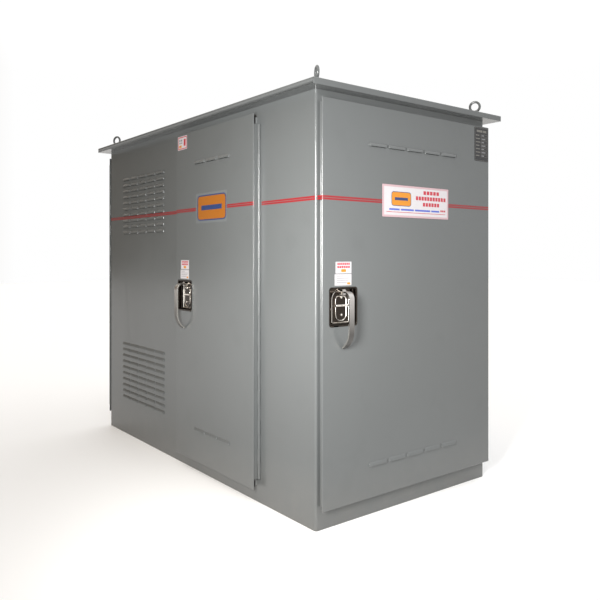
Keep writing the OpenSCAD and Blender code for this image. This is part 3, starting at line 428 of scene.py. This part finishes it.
doors = {side: door_place(side) for side in ("front", "right", "left")}
wall_x, wall_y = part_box("front_panel")[1][0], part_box("rear_panel")[1][1]
cover_low, cover_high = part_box("rear_cover")
board_low, board_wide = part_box("right_door_plates")[0], 0.547
bend_x, bend_y = wall_x - corner, wall_y - corner
door_clear, hinge_clear, board_clear, film_clear = 0.002, 0.004, 0.003, 0.002
lay_tape("tape_front_left",
         bend((-bend_x, -bend_y), corner, 218, 270)
         + [(doors["front"][0].translation.x - doors["front"][1] - door_clear, -wall_y)],
         "enclosure")
lay_tape("tape_front_right",
         [(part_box("front_hinge_leaf")[1][0] + hinge_clear, -wall_y)]
         + bend((bend_x, -bend_y), corner, 270, 322), "enclosure")
lay_tape("tape_rear_right", bend((bend_x, bend_y), corner, 38, 90)
         + [(cover_high[0], wall_y)], "enclosure")
lay_tape("tape_cover", [(cover_high[0], wall_y + cover_thick),
                        (cover_low[0], wall_y + cover_thick)], "enclosure")
lay_tape("tape_rear_left", [(cover_low[0], wall_y)]
         + bend((-bend_x, bend_y), corner, 90, 142), "enclosure")
film_from, film_to = -0.194, 0.180
board_from, board_to = board_low[1], board_low[1] + board_wide
for side, cut in (("front", (film_from - film_clear, film_to + film_clear)),
                  ("right", (board_from - board_clear, board_to + board_clear)),
                  ("left", None)):
    where, half, _ = doors[side]
    near = [(-half, door_lip)] + bend((door_round - half, door_round), door_round, 180, 270)
    far = bend((half - door_round, door_round), door_round, 270, 360)
    if cut:
        lay_tape(f"tape_{side}_door_a", near + [(cut[0], 0)], side + "_door", where)
        lay_tape(f"tape_{side}_door_b", [(cut[1], 0)] + far, side + "_door", where)
    else:
        lay_tape(f"tape_{side}_door", near + far, side + "_door", where)

# ---- Handle pans ----
# Pressed pans of polished sheet, set into each door and held by their rims. In each sit an
# arched plate and a keeper, both with beads along their edges, the two halves of the lock bar and
# the heads of two fixing bolts, with the spindle's bearing welded on behind. Pan, plate and
# keeper are coloured near black as a painted dark reflection of the room, and their beads are
# coloured light as a painted highlight.
# Near-black metal for the pans, arches and keepers: a painted dark reflection of the room, not
# the steel's own colour.
pan_dark_reflection = brushed("polished_pan_dark_reflection", (0.050, 0.042, 0.036), 0.12, (1, 1, 8), 90.0, 0.00006)
# Light polished metal: plain bright steel on the bolts and lock bars, and a painted highlight on
# the beads and on the levers' edges.
bright_metal_and_painted_highlight = brushed("bright_metal_and_painted_highlight", (0.93, 0.89, 0.83), 0.22, fine=120.0, depth=0.00005)


def pressed_pan(name, at, width, height, depth, rim):
    """A pan drawn from flat sheet: a rim with round corners, steep walls and a floor."""
    pan = upright(name, (at.x - width / 2, at.z - height / 2),
                  (at.x + width / 2, at.z + height / 2), -0.002)
    whole_mesh()
    bpy.ops.mesh.bevel(offset=0.016, segments=7, affect="VERTICES")
    bpy.ops.mesh.select_mode(type="FACE")
    bpy.ops.mesh.select_all(action="SELECT")
    bpy.ops.mesh.inset(thickness=rim, depth=0)
    bpy.ops.mesh.inset(thickness=0.0015, depth=-0.0015)
    bpy.ops.mesh.extrude_region_move(TRANSFORM_OT_translate={"value": (0, depth - 0.008, 0)})
    bpy.ops.mesh.inset(thickness=0.0012, depth=-0.0035)
    bpy.ops.mesh.inset(thickness=0.0045, depth=-0.003)
    bpy.ops.object.mode_set(mode="OBJECT")
    wall = pan.modifiers.new("wall", "SOLIDIFY")
    wall.thickness, wall.offset = 0.0012, -1
    bpy.ops.object.modifier_apply(modifier="wall")
    round_edges(pan, 0.0006)
    return pan


def beaded_plate(name, low, high, back, lower_round, upper_round, tall, bead):
    """Plate on the pan's floor with a bead pressed up along its edge, later coloured as a painted
    highlight.
    """
    plate = upright(name, low, high, back)
    middle = (low[1] + high[1]) / 2
    pick_points(plate, lambda p: p.z < middle)
    bpy.ops.mesh.bevel(offset=lower_round, segments=12, affect="VERTICES")
    pick_points(plate, lambda p: p.z > high[1] - 0.0001)
    bpy.ops.mesh.bevel(offset=upper_round, segments=10, affect="VERTICES")
    pick_faces(plate, lambda c, n: True)
    bpy.ops.mesh.extrude_region_move(TRANSFORM_OT_translate={"value": (0, -tall, 0)})
    bpy.ops.mesh.inset(thickness=bead * 0.4, depth=bead * 0.25)
    bpy.ops.mesh.inset(thickness=bead * 0.6, depth=-bead * 0.7)
    bpy.ops.mesh.select_all(action="SELECT")
    bpy.ops.mesh.normals_make_consistent(inside=False)
    bpy.ops.object.mode_set(mode="OBJECT")
    round_edges(plate, 0.0005)
    return plate


def lock_bar(name, low, high):
    """One half of the bar: a forged block with eased edges and a dished end."""
    bpy.ops.object.select_all(action="DESELECT")
    bpy.ops.mesh.primitive_cube_add(size=1, location=[(a + b) / 2 for a, b in zip(low, high)])
    bar = bpy.context.object
    bar.name = name
    bar.scale = [b - a for a, b in zip(low, high)]
    bpy.ops.object.transform_apply(location=True, rotation=True, scale=True)
    pick_faces(bar, lambda c, n: abs(n.x) > 0.9)
    bpy.ops.mesh.inset(thickness=0.002, depth=-0.0006, use_individual=True)
    bpy.ops.object.mode_set(mode="OBJECT")
    round_edges(bar, 0.0012, 3)
    return bar


def hex_bolt(name, middle, radius, tall, axis="-Y"):
    """A bolt or screw head with a washer face and a chamfered top."""
    turn = {"-Y": (math.pi / 2, 0, 0), "X": (0, math.pi / 2, 0)}[axis]
    bpy.ops.object.select_all(action="DESELECT")
    bpy.ops.mesh.primitive_cylinder_add(vertices=6, radius=radius, depth=tall,
                                        location=middle, rotation=turn)
    head = bpy.context.object
    head.name = name
    bpy.ops.object.transform_apply(location=True, rotation=True, scale=True)
    up = Vector({"-Y": (0, -1, 0), "X": (1, 0, 0)}[axis])
    pick_faces(head, lambda c, n: n.dot(up) > 0.9)
    bpy.ops.mesh.inset(thickness=radius * 0.14, depth=radius * 0.10)
    bpy.ops.object.mode_set(mode="OBJECT")
    round_edges(head, radius * 0.04, 2, 25)
    return head


def bearing(name, middle, radius, depth):
    """The spindle's bearing: a turned boss with a bore through its face."""
    bpy.ops.object.select_all(action="DESELECT")
    bpy.ops.mesh.primitive_cylinder_add(vertices=40, radius=radius, depth=depth,
                                        location=middle, rotation=(math.pi / 2, 0, 0))
    boss = bpy.context.object
    boss.name = name
    bpy.ops.object.transform_apply(location=True, rotation=True, scale=True)
    pick_faces(boss, lambda c, n: n.y > 0.9)
    bpy.ops.mesh.inset(thickness=radius - 0.0088, depth=0)
    bpy.ops.mesh.inset(thickness=0.0004, depth=-0.004)
    bpy.ops.object.mode_set(mode="OBJECT")
    round_edges(boss, 0.0006)
    return boss


def attach(piece, side, finish, field=None):
    """Puts a fitting made in a door's frame on its door. With a field, two corners (x, z), its
    flat faces inside the field keep the finish, and all the rest takes the light metal as a
    painted highlight."""
    piece.data.materials.clear()
    piece.data.materials.append(finish)
    if field:
        piece.data.materials.append(bright_metal_and_painted_highlight)
        low, high = field
        for face in piece.data.polygons:
            c = face.center
            inside = low[0] < c.x < high[0] and low[1] < c.z < high[1]
            face.material_index = 0 if inside and abs(face.normal.y) > 0.9 else 1
    hang(piece, doors[side][0])
    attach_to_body(piece, side + "_door")


for side in ("front", "right", "left"):
    at = doors[side][2]
    pan = pressed_pan(side + "_pan_pressing", at, width=0.194, height=0.204, depth=0.026,
                      rim=0.0078)
    attach(pan, side, pan_dark_reflection)
    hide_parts(side + "_handle_pan")
    arch = beaded_plate(side + "_pan_arch", (at.x - 0.062, at.z - 0.086),
                        (at.x + 0.062, at.z + 0.088), back=0.0240, lower_round=0.008,
                        upper_round=0.052, tall=0.0030, bead=0.006)
    attach(arch, side, pan_dark_reflection,
           ((at.x - 0.0565, at.z - 0.0805), (at.x + 0.0565, at.z + 0.0825)))
    keeper = beaded_plate(side + "_keeper", (at.x - 0.038, at.z - 0.074),
                          (at.x + 0.038, at.z + 0.056), back=0.0235, lower_round=0.034,
                          upper_round=0.020, tall=0.0060, bead=0.0042)
    attach(keeper, side, pan_dark_reflection,
           ((at.x - 0.0345, at.z - 0.0700), (at.x + 0.0345, at.z + 0.0520)))
    for half, span in (("a", (-0.040, -0.0012)), ("b", (0.0012, 0.040))):
        block = lock_bar(f"{side}_lock_bar_{half}", (at.x + span[0], 0.0095, at.z + 0.001),
                         (at.x + span[1], 0.0185, at.z + 0.011))
        attach(block, side, bright_metal_and_painted_highlight)
    for number, rise in enumerate((-0.042, 0.048)):
        bolt = hex_bolt(f"{side}_pan_bolt_{number + 1}", (at.x, 0.0160, at.z + rise),
                        radius=0.0065, tall=0.005)
        attach(bolt, side, bright_metal_and_painted_highlight)
    boss = bearing(side + "_bearing", (at.x, 0.0360, at.z + 0.076), radius=0.014, depth=0.019)
    attach(boss, side, zinc)

# ---- Levers ----
# Each lever is a steel strap, 34 by 8 mm, bent over at the hub and in at the tip, with its
# faces brushed along their length and its edges polished; its cam drives the latch rods. The
# faces are coloured dark at the tip and light towards the bend as a painted reflection, and the
# side edges take the light metal as a painted highlight.
strap_steel = brushed("brushed_strap", (0.46, 0.44, 0.42), 0.34, (1, 1, 0.04), 420.0, 0.0002)
tree = strap_steel.node_tree
height = tree.nodes.new("ShaderNodeSeparateXYZ")
tree.links.new(place_of(tree), height.inputs[0])
# Painted reflection: the strap is coloured dark at the tip and light towards the bend above it.
painted_sheen_by_height = spread(tree, height.outputs["Z"], 1.00, 1.19, 0.0, 1.0)
tree.links.new(blend_colors(tree, painted_sheen_by_height, (0.13, 0.125, 0.12), (0.56, 0.54, 0.52)),
               tree.nodes["Principled BSDF"].inputs["Base Color"])
for side in ("front", "right", "left"):
    lever = merged_copy(side + "_handle", side + "_lever")
    low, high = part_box(side + "_handle")
    pick_points(lever, lambda p: p.z < low[2] + 0.004)
    bpy.ops.mesh.bevel(offset=0.0065, segments=5, affect="VERTICES")
    bpy.ops.object.mode_set(mode="OBJECT")
    round_edges(lever, 0.0011, 3, 30)
    settle(lever, side + "_handle", strap_steel)
    # The strap's side faces take the light metal as a painted highlight along its edges.
    lever.data.materials.append(bright_metal_and_painted_highlight)
    along = doors[side][0].to_3x3() @ Vector((1, 0, 0))
    for face in lever.data.polygons:
        face.material_index = 1 if abs(face.normal.dot(along)) > 0.5 else 0

# ---- Latch rods and strikes ----
# Flat bars sheared from zinc-plated strip, with a slotted head over the cam's pin, sliding
# in the door's guides to the steel strikes on the header and sill.
for side in ("front", "right", "left"):
    refined(side + "_top_rod", zinc, 0.0006)
    refined(side + "_bottom_rod", zinc, 0.0006)
refined("strikes", zinc, 0.0006)

# ---- Printed plates and labels ----
# Thin plates and films on the doors, screen printed with plain blocks and bars of color
# under a clear coat: a name board, a rating plate, an emblem film and small labels.
def ink(name, color, rough=0.32):
    """Print or plate with faint mottling under a clear coat."""
    finish, tree, bsdf = new_finish(name, color, rough)
    cloud = noise(tree, place_of(tree), 34.0, 5, 0.65)
    tree.links.new(blend_colors(tree, cloud, tuple(c * 0.90 for c in color), color),
                   bsdf.inputs["Base Color"])
    relief(tree, bsdf, noise(tree, place_of(tree), 260.0, 2), 0.12, 0.0001)
    return finish


inks = {"white": ink("plate_white", (0.43, 0.415, 0.43)),
        "film": ink("clear_film", (0.112, 0.120, 0.123), 0.16),
        "red": ink("red_ink", (0.34, 0.020, 0.035)),
        "pink": ink("pink_ink", (0.38, 0.26, 0.28)),
        "blue": ink("blue_ink", (0.06, 0.09, 0.36)),
        "navy": ink("navy_ink", (0.014, 0.030, 0.10)),
        "orange": ink("orange_ink", (0.45, 0.17, 0.008)),
        "amber": ink("amber_ink", (0.25, 0.080, 0.005)),
        "grey": ink("grey_ink", (0.16, 0.16, 0.17)),
        "black": ink("black_plate", (0.010, 0.010, 0.011), 0.26),
        "silver": brushed("silver_print", (0.24, 0.23, 0.21), 0.40)}


def printed(name, side, low, high, thick, radius, ground, areas):
    """A plate on a door's face between corners (x, z), with areas (color, outline) on it."""
    plate = upright(name, low, high, 0)
    whole_mesh()
    bpy.ops.mesh.bevel(offset=radius, segments=5, affect="VERTICES")
    for _, outline in areas:
        for here, there in zip(outline, outline[1:] + outline[:1]):
            across = Vector((here[1] - there[1], 0, there[0] - here[0])).normalized()
            bpy.ops.mesh.select_all(action="SELECT")
            bpy.ops.mesh.bisect(plane_co=(here[0], 0, here[1]), plane_no=across,
                                threshold=0.00001)
    bpy.ops.object.mode_set(mode="OBJECT")
    names = [ground]
    plate.data.materials.append(inks[ground])
    for color, outline in areas:
        if color not in names:
            names.append(color)
            plate.data.materials.append(inks[color])
        for face in plate.data.polygons:
            c = face.center
            if all((b[0] - a[0]) * (c.z - a[1]) - (b[1] - a[1]) * (c.x - a[0]) > 0
                   for a, b in zip(outline, outline[1:] + outline[:1])):
                face.material_index = names.index(color)
    only(plate)
    body = plate.modifiers.new("body", "SOLIDIFY")
    body.thickness, body.offset = thick, 1
    bpy.ops.object.modifier_apply(modifier="body")
    hang(plate, doors[side][0])
    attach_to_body(plate, side + "_door")
    return plate


def bar(color, x0, x1, z0, z1):
    return color, [(x0, z0), (x1, z0), (x1, z1), (x0, z1)]


def border(color, ground, low, high, inset, wide):
    """A printed frame: a block of color with a block of ground inside it."""
    return [bar(color, low[0] + inset, high[0] - inset, low[1] + inset, high[1] - inset),
            bar(ground, low[0] + inset + wide, high[0] - inset - wide,
                low[1] + inset + wide, high[1] - inset - wide)]


def words(color, x0, x1, z, tall, blocks, gap=0.004):
    """A row of plain blocks that stands for a line of words."""
    total = sum(blocks)
    room = x1 - x0 - gap * (len(blocks) - 1)
    row, x = [], x0
    for share in blocks:
        wide = room * share / total
        row.append(bar(color, x, x + wide, z - tall / 2, z + tall / 2))
        x += wide + gap
    return row


def lozenge(color, x, z, wide, tall, round_by, steps=3):
    """A block of color with rounded corners, as a convex outline."""
    outline = []
    for turn, (sx, sz) in zip((0, 90, 180, 270), ((1, 1), (-1, 1), (-1, -1), (1, -1))):
        outline += bend((x + sx * (wide / 2 - round_by), z + sz * (tall / 2 - round_by)),
                        round_by, turn, turn + 90, steps)
    return color, outline


def letters(color, x0, x1, z, tall, count):
    """A row of count equal blocks, each as wide as a letter."""
    gap = 0.22
    pitch = (x1 - x0) / (count - gap)
    return [bar(color, x0 + i * pitch, x0 + (i + 1 - gap) * pitch, z - tall / 2, z + tall / 2)
            for i in range(count)]


plates_low, plates_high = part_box("right_door_plates")
b0, b1 = plates_low[1], plates_low[2]
board_end = (b0 + board_wide, b1 + 0.178)
board = border("pink", "white", (b0, b1), board_end, 0.0, 0.011)[1:]
board.append(lozenge("navy", b0 + 0.147, b1 + 0.102, 0.158, 0.080, 0.016))
board.append(lozenge("orange", b0 + 0.147, b1 + 0.102, 0.151, 0.073, 0.013))
board.append(bar("navy", b0 + 0.095, b0 + 0.199, b1 + 0.094, b1 + 0.110))
board += letters("red", b0 + 0.329, b0 + 0.463, b1 + 0.146, 0.021, 5)
board += letters("red", b0 + 0.265, b0 + 0.522, b1 + 0.113, 0.022, 11)
board += letters("red", b0 + 0.324, b0 + 0.465, b1 + 0.079, 0.021, 6)
board += words("blue", b0 + 0.051, b0 + 0.466, b1 + 0.043, 0.010, (7, 9, 11, 6), 0.010)
board += letters("red", b0 + 0.476, b0 + 0.520, b1 + 0.047, 0.011, 3)
board.append(bar("red", b0 + 0.028, b0 + 0.520, b1 + 0.0265, b1 + 0.0295))
name_board = printed("name_board", "right", (b0, b1), board_end, 0.002, 0.004, "pink", board)
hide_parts("right_door_plates")

r0, r1 = plates_high[1] - 0.136, plates_high[2] - 0.210
rating_end = (r0 + 0.136, r1 + 0.210)
rating = border("silver", "black", (r0, r1), rating_end, 0.004, 0.0012)
rating += words("silver", r0 + 0.020, r0 + 0.116, r1 + 0.186, 0.013, (5, 3), 0.006)
for row in range(7):
    z = r1 + 0.160 - 0.021 * row
    rating.append(bar("silver", r0 + 0.012, r0 + 0.046 + 0.004 * (row % 3), z - 0.003, z + 0.003))
    rating += border("silver", "black", (r0 + 0.062, z - 0.008), (r0 + 0.124, z + 0.008),
                     0.0, 0.0012)
    rating.append(bar("grey", r0 + 0.068, r0 + 0.092 + 0.007 * ((row * 2) % 4),
                      z - 0.003, z + 0.003))
printed("rating_plate", "right", (r0, r1), rating_end, 0.0015, 0.008, "black", rating)

emblem = [lozenge("navy", -0.001, 1.705, 0.350, 0.160, 0.030, 5),
          lozenge("amber", -0.001, 1.705, 0.332, 0.145, 0.023, 5),
          bar("navy", -0.125, 0.123, 1.690, 1.720)]
printed("emblem_film", "front", (film_from, 1.610), (film_to, 1.800), 0.0003, 0.006,
        "film", emblem)
decal_low, decal_high = (-0.441, 2.107), (-0.315, 2.197)
decal = border("red", "white", decal_low, decal_high, 0.004, 0.006)
decal += words("grey", -0.424, -0.380, 2.170, 0.012, (4, 6), 0.006)
decal += words("grey", -0.424, -0.380, 2.152, 0.008, (5, 4), 0.004)
decal += [bar("orange", -0.424, -0.390, 2.122, 2.138), bar("red", -0.360, -0.334, 2.130, 2.176)]
printed("door_decal", "front", decal_low, decal_high, 0.0004, 0.004, "white", decal)
for side in ("front", "right", "left"):
    x0 = doors[side][2].x - 0.053
    low, high = (x0, 1.313), (x0 + 0.110, 1.374)
    card = border("grey", "white", low, high, 0.002, 0.0012)
    card += letters("red", x0 + 0.012, x0 + 0.098, 1.3625, 0.0115, 7)
    card += letters("red", x0 + 0.012, x0 + 0.098, 1.3465, 0.0115, 6)
    card.append(lozenge("orange", x0 + 0.055, 1.3280, 0.034, 0.015, 0.004))
    printed(side + "_upper_label", side, low, high, 0.0004, 0.003, "white", card)
    low, high = (x0 - 0.006, 1.251), (x0 + 0.110, 1.310)
    card = border("grey", "white", low, high, 0.002, 0.0010)
    for row, share in enumerate((0.5, 0.95, 0.9, 0.75)):
        z = 1.300 - 0.011 * row
        card.append(bar("grey", x0 + 0.006, x0 + 0.006 + 0.094 * share, z - 0.0016, z + 0.0016))
    card.append(lozenge("orange", x0 + 0.090, 1.2615, 0.022, 0.011, 0.003))
    printed(side + "_lower_label", side, low, high, 0.0004, 0.003, "white", card)

# ---- Cover screws ----
# Zinc-plated steel screws with hexagonal heads, driven through the rim of the rear cover
# into the rear wall, with their heads flat against the paint.
refined("rear_cover_screws", zinc, 0.0006)

# ---- Partitions and mounting pans ----
# Unpainted galvanised sheet with its spangle showing. The partitions have folded edges, the
# right pan stands on welded standoffs, and plain gland plates cover the openings in the floor.
galvanised, tree, bsdf = new_finish("galvanised", (0.50, 0.51, 0.52), 0.42, 1.0)
crystals = tree.nodes.new("ShaderNodeTexVoronoi")
crystals.inputs["Scale"].default_value = 70.0
warp = tree.nodes.new("ShaderNodeVectorMath")
warp.operation = "ADD"
tree.links.new(place_of(tree), warp.inputs[0])
tree.links.new(spread(tree, noise(tree, place_of(tree), 40.0, 2), 0, 1, -0.006, 0.006),
               warp.inputs[1])
tree.links.new(warp.outputs[0], crystals.inputs["Vector"])
facet = tree.nodes.new("ShaderNodeSeparateColor")
tree.links.new(crystals.outputs["Color"], facet.inputs[0])
tree.links.new(blend_colors(tree, facet.outputs[0], (0.40, 0.41, 0.42), (0.62, 0.63, 0.64)),
               bsdf.inputs["Base Color"])
tree.links.new(spread(tree, facet.outputs[1], 0, 1, 0.32, 0.52), bsdf.inputs["Roughness"])
relief(tree, bsdf, noise(tree, place_of(tree), 160.0, 2), 0.1, 0.0002)
for plate in ("left_partition", "right_partition", "front_back_pan", "right_back_pan",
              "gland_plates"):
    refined(plate, galvanised, 0.0005, 1)
screw_in, head_radius, head_tall = 0.03, 0.009, 0.006
for number, node in enumerate(("front_back_pan", "right_back_pan")):
    low, high = (Vector(c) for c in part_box(node))
    heights = (low.z + screw_in, (low.z + high.z) / 2, high.z - screw_in)
    for row, z in enumerate(heights):
        for end in (0, 1):
            if node == "front_back_pan":
                spot = ((low.x + screw_in, high.x - screw_in)[end], low.y - head_tall / 2, z)
                axis = "-Y"
            else:
                spot = (high.x + head_tall / 2, (low.y + screw_in, high.y - screw_in)[end], z)
                axis = "X"
            screw = hex_bolt(f"pan_screw_{number}_{row}_{end}", spot, head_radius, head_tall,
                             axis)
            screw.data.materials.append(zinc)
            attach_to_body(screw, "enclosure")

# ---- Transformer core ----
# Stacked laminations of grain-oriented steel under dark varnish: fine lines run along the
# stack, with a slightly uneven edge from sheet to sheet.
laminated, tree, bsdf = new_finish("laminated_steel", (0.055, 0.058, 0.062), 0.45, 0.35)
stack = noise(tree, place_of(tree, (0.02, 1, 0.02)), 900.0, 2, 0.5)
tree.links.new(blend_colors(tree, stack, (0.030, 0.032, 0.035), (0.095, 0.098, 0.102)),
               bsdf.inputs["Base Color"])
streak = noise(tree, place_of(tree, (1, 4, 1)), 7.0, 5, 0.6)
tree.links.new(spread(tree, streak, 0.3, 0.7, 0.35, 0.55), bsdf.inputs["Roughness"])
relief(tree, bsdf, stack, 0.45, 0.0012)
refined("core", laminated, 0.0012)

# ---- Core clamps, rails, pads and tie rods ----
# Enamelled steel channels clamp the yokes and stand on two rails with solid rubber pads
# under them; zinc-plated tie rods with nuts hold top and bottom clamps together.
frame_paint = make_enamel("clamp_enamel", (0.055, 0.060, 0.066))
refined("core_clamps", frame_paint, 0.0015)
refined("core_rails", frame_paint, 0.0015)
refined("vibration_pads", sponge, 0.0025, 3)
refined("tie_rods", zinc, 0.0008)

# ---- Windings ----
# Cast-resin high-voltage coils round taped low-voltage coils. The resin is a deep red-brown
# with a soft gloss and faint flow marks; the tape shows its overlapping turns.
resin, tree, bsdf = new_finish("cast_resin", (0.20, 0.035, 0.022), 0.36)
flow = noise(tree, place_of(tree, (1, 1, 0.35)), 11.0, 6, 0.62)
tree.links.new(blend_colors(tree, flow, (0.13, 0.020, 0.013), (0.25, 0.050, 0.030)),
               bsdf.inputs["Base Color"])
tree.links.new(spread(tree, flow, 0.3, 0.7, 0.28, 0.44), bsdf.inputs["Roughness"])
relief(tree, bsdf, noise(tree, place_of(tree), 70.0, 4), 0.2, 0.0006)
bsdf.inputs["Coat Weight"].default_value = 0.3
bsdf.inputs["Coat Roughness"].default_value = 0.2
refined("hv_windings", resin, 0.005, 4)
tape_wrap, tree, bsdf = new_finish("varnished_tape", (0.42, 0.33, 0.18), 0.55)
turns = tree.nodes.new("ShaderNodeTexWave")
turns.bands_direction = "Z"
turns.inputs["Scale"].default_value = 16.0
turns.inputs["Distortion"].default_value = 1.2
tree.links.new(place_of(tree), turns.inputs["Vector"])
tree.links.new(blend_colors(tree, turns.outputs["Fac"], (0.30, 0.22, 0.11), (0.46, 0.37, 0.21)),
               bsdf.inputs["Base Color"])
relief(tree, bsdf, turns.outputs["Fac"], 0.4, 0.0008)
refined("lv_windings", tape_wrap, 0.003, 3)
board_wood, tree, bsdf = new_finish("pressboard", (0.50, 0.36, 0.18), 0.7)
layers = noise(tree, place_of(tree, (1, 1, 14)), 34.0, 4, 0.6)
tree.links.new(blend_colors(tree, layers, (0.36, 0.25, 0.12), (0.60, 0.45, 0.24)),
               bsdf.inputs["Base Color"])
relief(tree, bsdf, layers, 0.3, 0.0006)
refined("coil_blocks", board_wood, 0.002)

# ---- Busbars and links ----
# Bare copper bar, sheared and bent, with round links that have flat eyes between the coils,
# all browned a little by age. The neutral and ground bars are drilled for cable lugs.
copper, tree, bsdf = new_finish("bare_copper", (0.64, 0.30, 0.17), 0.3, 1.0)
age = noise(tree, place_of(tree), 7.0, 6, 0.65)
tree.links.new(blend_colors(tree, spread(tree, age, 0.42, 0.72, 0, 1), (0.68, 0.33, 0.19),
                            (0.36, 0.15, 0.085)), bsdf.inputs["Base Color"])
rolled = noise(tree, place_of(tree, (0.15, 1, 1)), 160.0, 4, 0.6)
tree.links.new(spread(tree, rolled, 0.3, 0.7, 0.24, 0.42), bsdf.inputs["Roughness"])
relief(tree, bsdf, rolled, 0.25, 0.0002)
for bus in ("hv_links", "lv_busbars", "feeder_busbars", "neutral_bar", "ground_bar"):
    refined(bus, copper, 0.0009)

# ---- Breakers and toggles ----
# Moulded black thermoset cases with a raised nose, fixed flat to their mounting pans. Each
# toggle is a pale grey moulding that rocks in a slot in the nose.
moulded, tree, bsdf = new_finish("black_moulding", (0.022, 0.023, 0.025), 0.46)
grainy = noise(tree, place_of(tree), 520.0, 3, 0.6)
tree.links.new(blend_colors(tree, noise(tree, place_of(tree), 18.0, 4), (0.017, 0.018, 0.020),
                            (0.030, 0.031, 0.034)), bsdf.inputs["Base Color"])
tree.links.new(spread(tree, grainy, 0.3, 0.7, 0.38, 0.54), bsdf.inputs["Roughness"])
relief(tree, bsdf, grainy, 0.35, 0.0003)
toggle_grey, tree, bsdf = new_finish("grey_moulding", (0.42, 0.42, 0.40), 0.34)
rubbed = noise(tree, place_of(tree), 60.0, 4, 0.6)
tree.links.new(blend_colors(tree, rubbed, (0.36, 0.36, 0.34), (0.48, 0.48, 0.46)),
               bsdf.inputs["Base Color"])
relief(tree, bsdf, rubbed, 0.15, 0.0003)
for node in ("main_breaker", "feeder_breakers"):
    refined(node, moulded, 0.0016)
for node in ("main_toggle", "feeder_toggle_1", "feeder_toggle_2"):
    refined(node, toggle_grey, 0.0018, 3)
